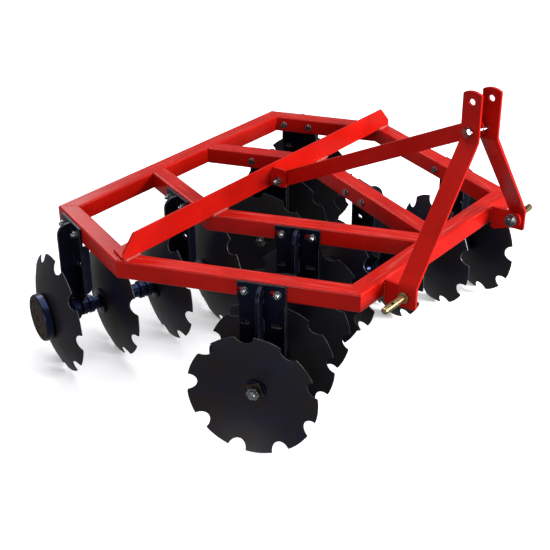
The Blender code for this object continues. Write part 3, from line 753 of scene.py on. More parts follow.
class HARROW_OT_frame(bpy.types.Operator):
    """Build the welded tube frame with its mitred corners and weld seams"""
    bl_idname = "harrow.frame"
    bl_label = "Frame Tubes"

    def execute(self, context):
        back = -AHEAD
        cross_cuts = {"front": [], "rear": []}
        seams = []
        front_face = plan(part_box("front_beam")[0])
        rear_face = plan(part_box("rear_beam")[1])
        for side, sign in SIDES.items():
            corners = side_corners(side)
            across = Vector((-sign, 0.0, 0.0))
            ways = {end: (corners[end] - corners["wide"]).normalized() for end in ENDS}
            inner = {end: level_normal(ways[end], across) for end in ENDS}
            wide_cut = mitre(corners["wide"], inner["front"], inner["rear"], ways["rear"])
            seams.append((corners["wide"], inner["front"] + inner["rear"], inner["front"]))
            for end, own in (("front", back), ("rear", AHEAD)):
                cut = mitre(corners[end], inner[end], own, across)
                cross_cuts[end].append((cut[0], -cut[1]))
                seams.append((corners[end], inner[end] + own, inner[end]))
                side_cut = wide_cut if end == "front" else (wide_cut[0], -wide_cut[1])
                node = f"{side}_{end}_side_beam"
                bm = tube(corners["wide"], corners[end], inner[end], [side_cut, cut])
                red = [highlighted_tube_paint(ways[end])]
                red_piece(f"{side}_{end}_side_tube", [bm], red, node)

                face = front_face - AHEAD * TUBE if end == "front" else rear_face + AHEAD * TUBE
                cuts = [(face, AHEAD if end == "front" else back)]
                meet_cut = mitre(corners["meet"], inner["front"], inner["rear"], ways["rear"])
                cuts.append(meet_cut if end == "front" else (meet_cut[0], -meet_cut[1]))
                if end == "front":
                    cuts.append((Vector((0.0, 0.0, 0.0)), across))
                far = corners["meet"] + ways[end] * (corners[end] - corners["wide"]).length
                bm = tube(corners["meet"], far, inner[end], cuts)
                node = f"{side}_{end}_inner_beam"
                red_piece(f"{side}_{end}_inner_tube", [bm], red, node)
        for end, inner_way in (("front", back), ("rear", AHEAD)):
            left = side_corners("left")[end]
            right = side_corners("right")[end]
            bm = tube(left, right, inner_way, cross_cuts[end])
            red = [highlighted_tube_paint(right - left)]
            red_piece(f"{end}_tube", [bm], red, f"{end}_beam")
        self.lay_seams(seams, [red_powder_coat()])
        return {"FINISHED"}

    def lay_seams(self, seams, red):
        """Ground-down weld seams along the mitres, on top of the tubes."""
        width = bpy.context.scene.harrow_frame.bead
        parts = []
        for corner, inside, inner in seams:
            along = inside.normalized()
            reach = TUBE / along.dot(inner)
            top = corner + UP * FRAME_TOP
            start, end = top + along * 0.006, top + along * (reach - 0.006)
            parts.append(bead(start, end, width * 0.8, 0.0006, UP))
        piece("mitre_seams", parts, "frame", red)


class HARROW_OT_cross_angle(bpy.types.Operator):
    """Build the angle iron across the frame, welded down at each tube"""
    bl_idname = "harrow.cross_angle"
    bl_label = "Cross Angle"

    def execute(self, context):
        low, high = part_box("cross_angle")
        thick = 0.008
        leg = high.z - low.z
        bm = bmesh.new()
        outline = [(0.0, 0.0), (leg - 0.003, 0.0), (leg - 0.003, thick), (thick, thick),
                   (thick, leg), (0.0, leg)]
        bm.faces.new([bm.verts.new((y, z, 0.0)) for y, z in outline])
        root = [v for v in bm.verts if (v.co - Vector((thick, thick, 0.0))).length < 1e-6]
        toes = [v for v in bm.verts if v.co.x > leg - 0.004 and v.co.y > 0.001
                or v.co.y > leg - 0.001 and v.co.x > 0.001]
        for corners, radius in ((root, 0.008), (toes, 0.004)):
            bmesh.ops.bevel(
                bm, geom=corners, offset=radius, offset_type="OFFSET", segments=5,
                profile=0.5, affect="VERTICES", material=-1)
        thicken(bm, (0.0, 0.0, high.x - low.x))
        placed(bm, upright(low.x, low.y, low.z))
        rise = extreme("cross_angle", Vector((1.0, 0.0, 0.5)))
        top = extreme("cross_angle", Vector((0.2, 0.0, 1.0)))
        rear = extreme("cross_angle", Vector((0.3, 1.0, 0.0)))
        for sign in SIDES.values():
            slope = Vector((sign * (top.z - rise.z), 0.0, rise.x - top.x))
            slice_off(bm, Vector((sign * rise.x, 0.0, rise.z)), slope)
            slope = Vector((sign * (rear.y - low.y), rise.x - rear.x, 0.0))
            slice_off(bm, Vector((sign * rise.x, low.y, 0.0)), slope)
        soften(bm, 0.0008)
        red = [red_powder_coat()]
        red_piece("cross_angle_iron", [bm], red, "cross_angle")
        self.lay_beads(low)
        return {"FINISHED"}

    def lay_beads(self, low):
        width = bpy.context.scene.harrow_frame.bead
        parts = []
        for side, sign in SIDES.items():
            corners = side_corners(side)
            for outer, length in ((corners["wide"].x - sign * 0.016, 0.062),
                                  (corners["meet"].x - sign * 0.004, 0.070)):
                start = Vector((outer, low.y - 0.001, FRAME_TOP + 0.001))
                end = start - Vector((sign * length, 0.0, 0.0))
                lean = (UP + AHEAD).normalized()
                parts.append(bead(start, end, width * 1.3, 0.007, lean))
        piece("cross_angle_beads", parts, "frame", [highlighted_bead_paint()])


# ---- Mast and hitch ----------------------------------------------------------------
class HARROW_OT_mast(bpy.types.Operator):
    """Bend the two mast bars, and build the brace and its lug"""
    bl_idname = "harrow.mast"
    bl_label = "Mast and Brace"

    def execute(self, context):
        red = [red_powder_coat()]
        for side in SIDES:
            bm = self.mast_bar(side, context.scene.harrow_mast)
            red_piece(f"{side}_mast_flat", [bm], red, f"{side}_mast_bar")
        self.brace(red)
        self.lug(red)
        return {"FINISHED"}

    def mast_bar(self, side, sizes):
        """Cuts the bar flat with its holes, folds it twice and stands it up."""
        sign = SIDES[side]
        node = f"{side}_mast_bar"
        low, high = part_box("right_mast_bar")
        half = (high.y - low.y) / 2.0
        thick = sizes.thickness
        upper = extreme(node, Vector((-sign, 0.0, -0.3)))
        lower = extreme(node, Vector((sign, 0.0, 0.3)))
        run = abs(lower.x - upper.x) - thick
        rough_angle = math.atan2(run, upper.z - lower.z)
        drop = upper.z - lower.z + thick * math.tan(rough_angle / 2.0)
        angle = math.atan2(run, drop)
        setback = sizes.bend * math.tan(angle / 2.0)
        shift = thick / 2.0 * math.tan(angle / 2.0)
        first = high.z - (upper.z + shift)
        slope = run / math.sin(angle)
        last = (lower.z - shift) - low.z
        bend_one = first - setback
        bend_two = bend_one + sizes.bend * angle + slope - 2.0 * setback
        length = bend_two + sizes.bend * angle + last - setback
        outline = self.bar_outline(half, length, sizes.crown)
        hole = circle((sizes.hole_drop, 0.0), sizes.pin_radius)
        bm = plate(outline, thick, [hole])
        bmesh.ops.translate(bm, vec=(0.0, 0.0, -thick / 2.0), verts=bm.verts)
        fold(bm, bend_two, -angle, sizes.bend)
        fold(bm, bend_one, angle, sizes.bend)
        middle = abs(upper.x) + thick / 2.0
        stand = Matrix((
            (0.0, 0.0, sign, sign * middle),
            (0.0, 1.0, 0.0, (low.y + high.y) / 2.0),
            (-1.0, 0.0, 0.0, high.z),
            (0.0, 0.0, 0.0, 1.0)))
        placed(bm, stand)
        skew = low.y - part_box(node)[0].y
        for vert in bm.verts:
            share = (vert.co.z - lower.z) / (upper.z - lower.z)
            vert.co.y -= skew * min(max(share, 0.0), 1.0)
        return bm

    def bar_outline(self, half, length, crown):
        """The flat bar: a gently crowned top, and small corners at the foot."""
        corner = 0.006
        rise = math.asin(half / (half + crown * 3.0))
        radius = half / math.sin(rise)
        top = arc((radius, 0.0), radius, 180.0 + math.degrees(rise), 180.0 - math.degrees(rise), 10)
        foot = arc((length - corner, half - corner), corner, 90.0, 0.0, 3)
        foot += arc((length - corner, -half + corner), corner, 0.0, -90.0, 3)
        return top + foot

    def brace(self, red):
        low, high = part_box("brace_bar")
        half = BRACE_HALF
        start = Vector((low.x, low_pin().y, low_pin().z))
        end = Vector((low.x, high_pin().y, high_pin().z))
        run = end - start
        outline = arc((run.length, 0.0), half, -90.0, 90.0, 16)
        outline += arc((0.0, 0.0), half, 90.0, 270.0, 16)
        bm = plate(outline, high.x - low.x)
        along = run.normalized()
        x_way = Vector((1.0, 0.0, 0.0))
        placed(bm, Matrix.Translation(start) @ axes(along, x_way.cross(along), x_way))
        red_piece("brace_flat", [bm], red, "brace_bar")

    def lug(self, red):
        low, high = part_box("brace_lug")
        r = 0.012
        outline = [(high.y, low.z), (high.y, high.z)]
        outline += arc((low.y + r, high.z - r), r, 90.0, 180.0, 5)
        outline += arc((low.y + r, low.z + r), r, 180.0, 270.0, 5)
        bm = plate(outline, high.x - low.x)
        placed(bm, upright(low.x))
        width = bpy.context.scene.harrow_frame.bead
        parts = [bm] + edge_beads(low, high, low.z + 0.006, high.z - 0.004, width * 0.8, 0.003)
        red_piece("brace_lug_plate", parts, red, "brace_lug")


def low_pin():
    """Where the brace is bolted to its lug."""
    foot = extreme("brace_bar", Vector((0.0, 1.0, 0.0)))
    return foot - Vector((0.0, BRACE_HALF, 0.0))


def high_pin():
    """Where the brace is bolted between the mast bars."""
    head = extreme("brace_bar", Vector((0.0, -1.0, 0.0)))
    return head + Vector((0.0, BRACE_HALF, 0.0))


class HARROW_OT_hitch(bpy.types.Operator):
    """Build the hitch brackets, the lower pins and the bolts of the mast"""
    bl_idname = "harrow.hitch"
    bl_label = "Hitch"

    def execute(self, context):
        for side in SIDES:
            self.bracket(side)
            self.pin(side)
        self.mast_bolts()
        return {"FINISHED"}

    def bracket(self, side):
        node = f"{side}_hitch_bracket"
        low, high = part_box(node)
        pin_y, pin_z = hitch_centre(side)
        face = high.y
        outline = [(face, high.z), (face, low.z + 0.004)]
        outline += arc((face - 0.014, low.z + 0.012), 0.012, 290.0, 250.0, 3)
        outline += [(face - 0.060, FRAME_BOTTOM - 0.002)]
        outline += arc((pin_y, pin_z), 0.030, -108.0, -243.0, 14)
        bm = plate(outline, high.x - low.x)
        placed(bm, upright(low.x))
        width = bpy.context.scene.harrow_frame.bead
        parts = [bm] + edge_beads(low, high, FRAME_BOTTOM + 0.006, high.z - 0.006, width, 0.004)
        red_piece(f"{side}_hitch_plate", parts, [red_powder_coat()], node)

    def pin(self, side):
        """The pin with its collar, cross hole and chamfered tip, and the nut inside."""
        sign = SIDES[side]
        node = f"{side}_hitch_pin"
        low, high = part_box(node)
        pin_y, pin_z = hitch_centre(side)
        outer = max(abs(low.x), abs(high.x))
        inner = min(abs(low.x), abs(high.x))
        foot = max(abs(corner.x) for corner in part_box(f"{side}_mast_bar"))
        radius = PIN_RADIUS
        collar, rounding = 0.017, 0.0015
        shoulder = foot + 0.0108
        profile = [
            (inner + 0.010, 0.0), (inner + 0.010, radius * 0.8), (foot, radius * 0.8),
            (foot, collar - rounding), (foot + rounding, collar),
            (shoulder - rounding, collar), (shoulder, collar - rounding),
            (shoulder, radius), (outer - 0.005, radius),
            (outer - 0.0015, radius * 0.78), (outer, radius * 0.6), (outer, 0.0),
        ]
        place = aim(Vector((0.0, pin_y, pin_z)), Vector((sign, 0.0, 0.0)))
        shaft = placed(lathe(profile, 32), place)
        drill = lathe([(-0.03, 0.0), (-0.03, 0.0055), (0.03, 0.0055), (0.03, 0.0)], 20)
        at = Vector((sign * (shoulder + 0.056), pin_y, pin_z))
        placed(drill, aim(at, Vector((0.0, -0.35, 1.0))))
        shaft = drilled(shaft, drill)
        under, nut = 0.004, 0.014
        nut_parts = [
            washer(-under, under, radius * 0.8, 0.020),
            hexagon(-under - nut, nut, 0.034),
            thread(-under - nut - 0.0078, 0.0088, 0.0105),
        ]
        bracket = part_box(f"{side}_hitch_bracket")
        face = min(abs(bracket[0].x), abs(bracket[1].x))
        at = aim(Vector((sign * face, pin_y, pin_z)), Vector((sign, 0.0, 0.0)))
        piece(f"{side}_lower_pin", [shaft], "frame", [yellow_zinc()], [node])
        piece(f"{side}_lower_pin_nut", [placed(p, at) for p in nut_parts], "frame",
              [bright_zinc()])

    def mast_bolts(self):
        """The bolt through both mast bars and the brace, and the bolt at the lug."""
        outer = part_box("left_mast_bar")[0].x + bpy.context.scene.harrow_mast.thickness
        top = high_pin()
        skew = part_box("right_mast_bar")[0].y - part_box("left_mast_bar")[0].y
        near = Vector((-outer, top.y, top.z))
        far = Vector((outer, top.y - skew, top.z))
        run = far - near
        parts = bolted(far, run, run.length, 0.026)
        start, end, radius = 0.001, run.length - 0.001, 0.007
        shank = lathe([(start, 0.0), (start, radius), (end, radius), (end, 0.0)], 20)
        parts.append(placed(shank, aim(near, run)))
        zinc_piece("mast_bolt", parts)
        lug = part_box("brace_lug")
        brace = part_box("brace_bar")
        foot = low_pin()
        out = Vector((-1.0, 0.0, 0.0))
        parts = bolted(Vector((lug[0].x, foot.y, foot.z)), out, brace[1].x - lug[0].x, 0.024)
        zinc_piece("lug_bolt", parts)


def hitch_centre(side):
    low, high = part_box(f"{side}_hitch_pin")
    return (low.y + high.y) / 2.0, (low.z + high.z) / 2.0


def drilled(bm, drill):
    """Cuts one closed shape out of another."""
    objects = []
    for shape in (bm, drill):
        bmesh.ops.recalc_face_normals(shape, faces=shape.faces)
        mesh = bpy.data.meshes.new("shape")
        shape.to_mesh(mesh)
        shape.free()
        obj = bpy.data.objects.new("shape", mesh)
        bpy.context.scene.collection.objects.link(obj)
        objects.append(obj)
    solid, cutter = objects
    cut = solid.modifiers.new("Drill", "BOOLEAN")
    cut.operation = "DIFFERENCE"
    cut.solver = "EXACT"
    cut.object = cutter
    bpy.context.view_layer.update()
    graph = bpy.context.evaluated_depsgraph_get()
    made = bmesh.new()
    made.from_object(solid, graph)
    for obj in objects:
        bpy.data.meshes.remove(obj.data)
    return made


# ---- Hangers -----------------------------------------------------------------------
class HARROW_OT_hangers(bpy.types.Operator):
    """Build the bolted hangers with their ribs, slots and bearing housings"""
    bl_idname = "harrow.hangers"
    bl_label = "Hangers"

    def execute(self, context):
        for end in ENDS:
            for side in SIDES:
                for row in ("outer", "inner"):
                    self.hanger(end, side, row, context.scene.harrow_hanger)
        return {"FINISHED"}

    def hanger(self, end, side, row, sizes):
        place = hanger_place(end, side, row)
        node = f"{end}_{side}_{row}_hanger"
        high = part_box(node)[1]
        ahead = 1.0 if (place.to_3x3() @ Vector((0.0, 1.0, 0.0))).dot(AHEAD) > 0 else -1.0
        materials = [black_paint(), rubbed_edge()]
        parts = [self.plate(high.z, ahead, sizes), self.rib(high.z, sizes)]
        parts += self.flanges(sizes)
        parts.append((self.housing(sizes), 0))
        parts += [(bm, 0) for bm in self.rib_beads(high.z, ahead, sizes)]
        parts = [(placed(p[0], place), p[1]) if isinstance(p, tuple) else placed(p, place)
                 for p in parts]
        piece(f"{node}_plate", parts, "frame", materials, [node])

        out = place.to_3x3() @ Vector((1.0, 0.0, 0.0))
        bolts = []
        for y in (-sizes.bolt_spread, sizes.bolt_spread):
            point = place @ Vector((sizes.thickness + GAP, y, self.bolt_height()))
            bolts += bolted(point, out, TUBE + sizes.thickness, sizes.bolt)
        cap = place @ Vector((sizes.housing_out, 0.0, AXLE_Z + sizes.housing_radius - 0.002))
        bolts.append(placed(hexagon(0.0, 0.010, 0.019), aim(cap, out * 0.15 + UP)))
        zinc_piece(f"{node}_bolts", bolts)

    def bolt_height(self):
        """Just under the middle of the tube."""
        return FRAME_BOTTOM + TUBE * 0.47

    def foot(self):
        """The plate's lower edge."""
        return AXLE_Z + 0.030

    def plate(self, top, ahead, sizes):
        """The face plate: slots round the bolts, and an empty pair lower down."""
        half = sizes.width / 2.0
        step = half - 0.004
        foot = self.foot()
        outline = arc((-half + 0.004, top - 0.004), 0.004, 180.0, 90.0, 3)
        outline += arc((half - 0.004, top - 0.004), 0.004, 90.0, 0.0, 3)
        outline += [(half, FRAME_BOTTOM - 0.004), (step, FRAME_BOTTOM - 0.010),
                    (step, foot + 0.040), (0.030, foot), (-0.030, foot),
                    (-step, foot + 0.040), (-step, FRAME_BOTTOM - 0.010),
                    (-half, FRAME_BOTTOM - 0.004)]
        holes = []
        for y in (-sizes.bolt_spread, sizes.bolt_spread):
            holes.append(slot((y - ahead * 0.008, self.bolt_height()), 0.034, 0.017))
            holes.append(slot((y - ahead * 0.004, LOW_SLOTS), 0.032, 0.013))
        bm = plate(outline, sizes.thickness, holes, edge=0.0010, edge_material=1)
        return placed(bm, upright(GAP))

    def rib(self, top, sizes):
        """The upright rib: quarter-round head, and a foot that meets the housing."""
        reach = sizes.thickness + 0.048
        edge = sizes.housing_out + sizes.housing_length / 2.0 - 0.001
        outline = [(0.007, top - 0.004), (0.012, top - 0.004)]
        outline += arc((reach - 0.040, top - 0.044), 0.040, 76.0, 0.0, 10)
        outline += [(reach, AXLE_Z + 0.082), (edge, AXLE_Z + 0.056),
                    (edge, AXLE_Z + 0.034), (0.007, AXLE_Z + 0.034)]
        bm = plate(outline, sizes.rib, edge=0.0012, edge_material=1)
        return placed(bm, edgeways(-sizes.rib / 2.0))

    def flanges(self, sizes):
        """The side edges of the plate, folded in below the tube."""
        thick, inset = 0.007, 0.005
        half = sizes.width / 2.0 - inset
        high = FRAME_BOTTOM - 0.012
        low = self.foot() + 0.045
        made = []
        for s in (-1.0, 1.0):
            outline = [(-0.022, high - 0.004), (-0.018, high), (0.006, high), (0.006, low),
                       (-0.010, low + 0.006), (-0.022, low + 0.022)]
            bm = plate(outline, thick, edge=0.0010, edge_material=1)
            made.append(placed(bm, edgeways(half - thick if s > 0 else -half)))
        return made

    def housing(self, sizes):
        """The bearing housing: a ribbed ring with a machined face at each end."""
        r = sizes.housing_radius
        half = sizes.housing_length / 2.0
        face = [(0.0, sizes.bore), (0.0, r - 0.008), (0.002, r - 0.006), (0.005, r - 0.006),
                (0.007, r - 0.001), (0.009, r)]
        bm = lathe(both_ends(-half, half, face), 40, closed=True)
        bmesh.ops.translate(bm, vec=(sizes.housing_out, 0.0, AXLE_Z), verts=bm.verts)
        return bm

    def rib_beads(self, top, ahead, sizes):
        """Two stitch welds on the front side of the rib and one on the rear."""
        x = sizes.thickness + 0.001
        made = []
        for s, spans in ((ahead, ((0.018, 0.062), (0.110, 0.158))), (-ahead, ((0.070, 0.115),))):
            y = s * sizes.rib / 2.0
            lean = Vector((1.0, s, 0.0)).normalized()
            for start, stop in spans:
                made.append(bead(Vector((x, y, top - start)), Vector((x, y, top - stop)),
                                 0.009, 0.004, lean))
        return made


# ---- Gangs -------------------------------------------------------------------------
def gang_names():
    return [f"{end}_{side}_gang" for end in ENDS for side in SIDES]


def dish_at(radius, sizes):
    """How far the dish has risen from the hub's plane at a radius."""
    if radius <= sizes.flat:
        return 0.0
    rim = AXLE_Z
    sphere = (rim ** 2 + sizes.dish ** 2) / (2.0 * sizes.dish)
    rise = sphere - math.sqrt(sphere ** 2 - radius ** 2)
    base = sphere - math.sqrt(sphere ** 2 - sizes.flat ** 2)
    full = sphere - math.sqrt(sphere ** 2 - rim ** 2)
    return (rise - base) * sizes.dish / (full - base)


class HARROW_OT_blades(bpy.types.Operator):
    """Build the notched, dished discs"""
    bl_idname = "harrow.blades"
    bl_label = "Discs"

    def execute(self, context):
        sizes = context.scene.harrow_gang
        for gang in gang_names():
            pitch = disc_pitch(gang)
            place = gang_place(gang)
            for k in range(DISCS_PER_GANG):
                node = f"{gang[:-5]}_disc_{k + 1}"
                phase = self.phase(node, place, sizes)
                bm = self.blade(sizes, phase)
                bmesh.ops.translate(bm, vec=(k * pitch, 0.0, 0.0), verts=bm.verts)
                placed(bm, place)
                piece(f"{gang[:-5]}_blade_{k + 1}", [bm], gang,
                      [blade_coat(), blade_edge()], [node])
        return {"FINISHED"}

    def phase(self, node, place, sizes):
        """The angle of one notch's middle, read from the CAD disc's rim."""
        pitch = 2.0 * math.pi / sizes.notches
        back = place.inverted()
        total_x = total_y = 0.0
        for vert in frame["nodes"][node].data.vertices:
            local = back @ vert.co
            radius = math.hypot(local.y, local.z)
            if AXLE_Z - sizes.notch_depth * 1.02 < radius < AXLE_Z - sizes.notch_depth * 0.5:
                angle = math.atan2(local.z, local.y) * sizes.notches
                total_x += math.cos(angle)
                total_y += math.sin(angle)
        return math.atan2(total_y, total_x) / sizes.notches % pitch

    def blade(self, sizes, phase):
        """One sector of the disc from a grid, turned round the axle and thickened."""
        across, rows = 22, 12
        pitch = 2.0 * math.pi / sizes.notches
        bore = sizes.shaft + GAP
        bm = bmesh.new()
        bmesh.ops.create_grid(bm, x_segments=across, y_segments=rows, size=0.5)
        for vert in bm.verts:
            angle, rim = self.rim_at(vert.co.x + 0.5, sizes)
            share = vert.co.y + 0.5
            radius = self.row_radius(share * rows, rows, bore, rim, sizes)
            lift = sizes.thickness + dish_at(radius, sizes)
            vert.co = (lift, radius * math.cos(angle + phase), radius * math.sin(angle + phase))
        bmesh.ops.spin(
            bm, geom=bm.verts[:] + bm.edges[:] + bm.faces[:], cent=(0.0, 0.0, 0.0),
            axis=(1.0, 0.0, 0.0), angle=pitch * (sizes.notches - 1),
            steps=sizes.notches - 1, use_duplicate=True)
        bmesh.ops.remove_doubles(bm, verts=bm.verts, dist=1e-5)
        backs = thicken(bm, (-sizes.thickness, 0.0, 0.0))
        bmesh.ops.recalc_face_normals(bm, faces=bm.faces)
        self.sharpen(bm, set(backs), sizes)
        return bm

    def rim_at(self, share, sizes):
        """Angle and rim radius at a share of one notch's pitch: a round notch, then land."""
        pitch = 2.0 * math.pi / sizes.notches
        notch_share = 0.6
        if share <= notch_share:
            turn = math.pi * (share / notch_share - 0.5)
            angle = sizes.notch_angle * math.sin(turn)
            return angle, AXLE_Z - sizes.notch_depth * math.cos(turn)
        land = (share - notch_share) / (1.0 - notch_share)
        return sizes.notch_angle + land * (pitch - 2.0 * sizes.notch_angle), AXLE_Z

    def row_radius(self, row, rows, bore, rim, sizes):
        """Rows are even from the bore to the thinned edge, which takes the last one."""
        inner = rim - sizes.edge
        if row >= rows - 0.5:
            return rim
        if row < 1.5:
            return bore + (sizes.flat - bore) * row
        return sizes.flat + (inner - sizes.flat) * (row - 1.0) / (rows - 2.0)

    def sharpen(self, bm, back_verts, sizes):
        """Slides the back of the rim forwards, so that the edge is thinner."""
        rim_faces = set()
        rim_verts = set()
        for face in bm.faces:
            backs = [v for v in face.verts if v in back_verts]
            if 0 < len(backs) < len(face.verts) and face.calc_center_median().yz.length > 0.1:
                rim_faces.add(face)
                rim_verts.update(backs)
        for vert in rim_verts:
            vert.co.x += sizes.thickness * 0.4
        for face in rim_faces:
            face.material_index = 1


class HARROW_OT_shafts(bpy.types.Operator):
    """Build the gang shafts with their spools, end washers and nuts"""
    bl_idname = "harrow.shafts"
    bl_label = "Shafts and Spools"

    def execute(self, context):
        sizes = context.scene.harrow_gang
        hanger = context.scene.harrow_hanger
        for gang in gang_names():
            pitch = disc_pitch(gang)
            place = gang_place(gang)
            housings = self.housings(gang, place, hanger)
            parts = []
            for k in range(DISCS_PER_GANG - 1):
                start = k * pitch + sizes.thickness + GAP
                end = (k + 1) * pitch - GAP
                parts.append(lathe(self.spool(start, end, housings, sizes), 40))
            parts.append(lathe([
                (-sizes.bell_length + 0.006, 0.0), (-sizes.bell_length + 0.006, sizes.shaft * 0.9),
                (0.0, sizes.shaft), (pitch * 3.0 + 0.004, sizes.shaft),
                (pitch * 3.0 + 0.004, 0.0)], 24))
            washer_start = (DISCS_PER_GANG - 1) * pitch + sizes.thickness + GAP
            washer_thick = 0.0075
            parts.append(washer(washer_start, washer_thick, 0.012, 0.0325))
            parts = [placed(p, place) for p in parts]
            piece(f"{gang[:-5]}_spools", parts, gang, [spool_paint()],
                  [f"{gang[:-5]}_gang_axle"])
            self.nut(gang, place, washer_start + washer_thick)
        return {"FINISHED"}

    def housings(self, gang, place, hanger):
        """Where the two bearing housings lie along the gang, as (start, end)."""
        end, side, _ = gang.split("_")
        found = []
        for row in ("outer", "inner"):
            at = hanger_place(end, side, row)
            middle = at @ Vector((hanger.housing_out, 0.0, AXLE_Z))
            x = (place.inverted() @ middle).x
            found.append((x - hanger.housing_length / 2.0, x + hanger.housing_length / 2.0))
        return found

    def spool(self, start, end, housings, sizes):
        """One cast spool: a flange at each end, and two ribs beside each housing."""
        neck, flange = sizes.spool, sizes.flange
        ribs = []
        walls = [x for h in housings if start < h[0] < end for x in h]
        stops = [start + 0.014] + walls + [end - 0.014]
        for low, high in zip(stops[::2], stops[1::2]):
            for from_left in (True, False):
                beside = (low if from_left else high) in walls
                for k in range(2):
                    rib = low + 0.004 + k * 0.025 if from_left else high - 0.024 - k * 0.025
                    free = low + 0.002 < rib and rib + 0.020 < high - 0.002
                    clear = all(rib + 0.022 < a or rib > a + 0.022 for a in ribs)
                    if (beside or not walls) and free and clear:
                        ribs.append(rib)
        end_flange = [(0.0, 0.0), (0.0, flange - 0.002), (0.0015, flange), (0.0070, flange),
                      (0.0085, flange - 0.002), (0.0100, neck + 0.004), (0.0130, neck)]
        shoulder = [(0.0, neck), (0.001, neck + 0.005), (0.003, neck + 0.0065)]
        between = []
        for rib in sorted(ribs):
            between += both_ends(rib, rib + 0.020, shoulder)
        return both_ends(start, end, end_flange, between)

    def nut(self, gang, place, start):
        """A rusty square washer under the zinc nut on the threaded end."""
        half, thick = 0.024, 0.005
        outline = [(-half, -half), (half, -half), (half, half), (-half, half)]
        square = plate(outline, thick, [circle((0.0, 0.0), 0.0125, 20)], edge=0.001)
        placed(square, upright(start))
        placed(square, Matrix.Rotation(math.radians(20.0), 4, "X"))
        piece(f"{gang[:-5]}_square_washer", [placed(square, place)], gang, [rusty_steel()])
        nut = start + thick
        parts = [hexagon(nut, 0.020, 0.038), washer(nut + 0.0195, 0.003, 0.0125, 0.0175),
                 thread(nut + 0.021, 0.012, 0.0125)]
        piece(f"{gang[:-5]}_shaft_nut", [placed(p, place) for p in parts], gang,
              [bright_zinc()])


class HARROW_OT_end_bells(bpy.types.Operator):
    """Build the cast end bells"""
    bl_idname = "harrow.end_bells"
    bl_label = "End Bells"

    def execute(self, context):
        sizes = context.scene.harrow_gang
        r = sizes.bell
        length = sizes.bell_length
        face = [
            (-length + 0.0060, 0.0), (-length + 0.0060, r * 0.15),
            (-length + 0.0015, r * 0.17), (-length + 0.0005, r * 0.36),
            (-length + 0.0030, r * 0.38), (-length + 0.0030, r * 0.42),
            (-length + 0.0005, r * 0.44), (-length, r * 0.70), (-length + 0.0030, r * 0.72),
            (-length + 0.0030, r * 0.77), (-length, r * 0.79), (-length, r * 0.90),
        ]
        rim = [
            (-length, r * 0.90), (-length + 0.0015, r * 0.95), (-length + 0.0060, r * 0.985),
            (-0.0080, r), (-0.0030, r * 0.985), (-GAP, r * 0.94), (-GAP, 0.0),
        ]
        for gang in gang_names():
            bm = lathe(face + rim[1:], 64)
            limit = r * 0.93
            for f in bm.faces:
                middle = f.calc_center_median()
                turned = middle.x < -length + 0.0065 and middle.yz.length < limit
                f.material_index = 1 if turned else 0
            placed(bm, gang_place(gang))
            piece(f"{gang[:-5]}_bell", [bm], gang, [spool_paint(), turned_casting()],
                  [f"{gang[:-5]}_end_bell"])
        return {"FINISHED"}


# ---- Stage -------------------------------------------------------------------------
# Each lamp's name, place, width and power, in metres and watts
LAMPS = (
    ("overhead", (0.3, 0.3, 5.0), 5.0, 200.0),
    ("key", (1.6, -4.4, 2.0), 2.0, 520.0),
    ("rear", (1.2, 3.6, 3.2), 2.2, 60.0),
    ("fill", (-4.6, -1.2, 1.2), 2.0, 60.0),
)
CAMERA_PLACE = (-2.7366, -2.0889, 2.1005)  # metres


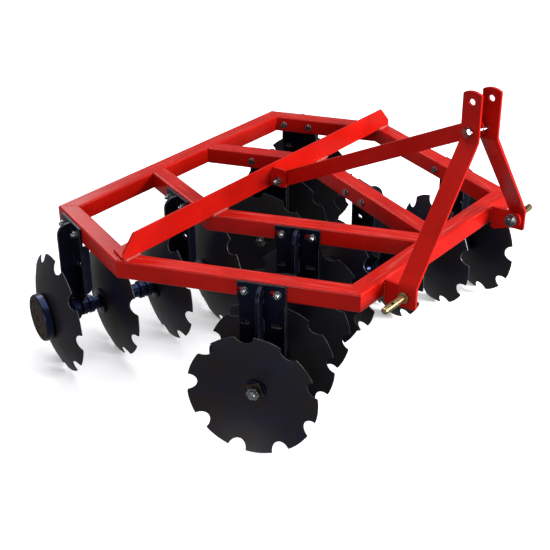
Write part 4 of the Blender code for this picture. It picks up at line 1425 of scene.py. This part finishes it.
class HARROW_OT_stage(bpy.types.Operator):
    """Set the floor, the lights and the camera"""
    bl_idname = "harrow.stage"
    bl_label = "Stage"

    def execute(self, context):
        scene = context.scene
        self.floor(scene)
        self.world(scene)
        self.lights(scene)
        self.camera(scene)
        return {"FINISHED"}

    def floor(self, scene):
        bm = bmesh.new()
        bmesh.ops.create_grid(bm, x_segments=1, y_segments=1, size=30.0)
        mesh = bpy.data.meshes.new("studio_floor")
        bm.to_mesh(mesh)
        bm.free()
        mesh.materials.append(studio_floor())
        floor = bpy.data.objects.new("studio_floor", mesh)
        scene.collection.objects.link(floor)
        floor.visible_glossy = False
        floor.visible_diffuse = False

    def world(self, scene):
        world = bpy.data.worlds.new("studio")
        world.use_nodes = True
        background = world.node_tree.nodes["Background"]
        background.inputs["Color"].default_value = (*linear("#ffffff"), 1.0)
        background.inputs["Strength"].default_value = 0.3
        scene.world = world
        scene.view_settings.view_transform = "Standard"

    def lights(self, scene):
        """A wide softbox overhead, a key light in front, and two weak ones behind and beside."""
        middle = (CAD_LOW + CAD_HIGH) / 2.0
        for name, place, size, power in LAMPS:
            data = bpy.data.lights.new(name, "AREA")
            data.size = size
            data.energy = power
            lamp = bpy.data.objects.new(name, data)
            lamp.location = place
            lamp.rotation_euler = (middle - Vector(place)).to_track_quat("-Z", "Y").to_euler()
            scene.collection.objects.link(lamp)

    def camera(self, scene):
        sizes = scene.harrow_stage
        data = bpy.data.cameras.new("camera")
        data.lens = sizes.lens
        camera = bpy.data.objects.new("camera", data)
        a, e, r = sizes.azimuth, sizes.elevation, sizes.roll
        back = Vector((math.sin(a) * math.cos(e), -math.cos(a) * math.cos(e), math.sin(e)))
        level = Vector((math.cos(a), math.sin(a), 0.0))
        rise = back.cross(level)
        right = level * math.cos(r) + rise * math.sin(r)
        turn = axes(right, back.cross(right), back)
        camera.matrix_world = Matrix.Translation(CAMERA_PLACE) @ turn
        scene.collection.objects.link(camera)
        scene.camera = camera


OPERATORS = (
    HARROW_OT_frame,
    HARROW_OT_cross_angle,
    HARROW_OT_mast,
    HARROW_OT_hitch,
    HARROW_OT_hangers,
    HARROW_OT_blades,
    HARROW_OT_shafts,
    HARROW_OT_end_bells,
    HARROW_OT_stage,
)


class HARROW_PT_panel(bpy.types.Panel):
    """Lists the steps that build the harrow, with its settings"""
    bl_idname = "HARROW_PT_panel"
    bl_label = "Disc Harrow"
    bl_space_type = "VIEW_3D"
    bl_region_type = "UI"
    bl_category = "Harrow"

    def draw(self, context):
        for operator in OPERATORS:
            self.layout.operator(operator.bl_idname)
        for name in GROUPS:
            group = getattr(context.scene, name)
            box = self.layout.box()
            for setting in group.bl_rna.properties.keys()[2:]:
                box.prop(group, setting)


def register():
    for group in GROUPS.values():
        bpy.utils.register_class(group)
    for operator in OPERATORS:
        bpy.utils.register_class(operator)
    bpy.utils.register_class(HARROW_PT_panel)
    for name, group in GROUPS.items():
        setattr(bpy.types.Scene, name, bpy.props.PointerProperty(type=group))


def unregister():
    for name in GROUPS:
        delattr(bpy.types.Scene, name)
    bpy.utils.unregister_class(HARROW_PT_panel)
    for operator in reversed(OPERATORS):
        bpy.utils.unregister_class(operator)
    for group in reversed(list(GROUPS.values())):
        bpy.utils.unregister_class(group)


def main():
    register()
    for operator in OPERATORS:
        group, name = operator.bl_idname.split(".")
        getattr(getattr(bpy.ops, group), name)()


if __name__ == "__main__":
    main()
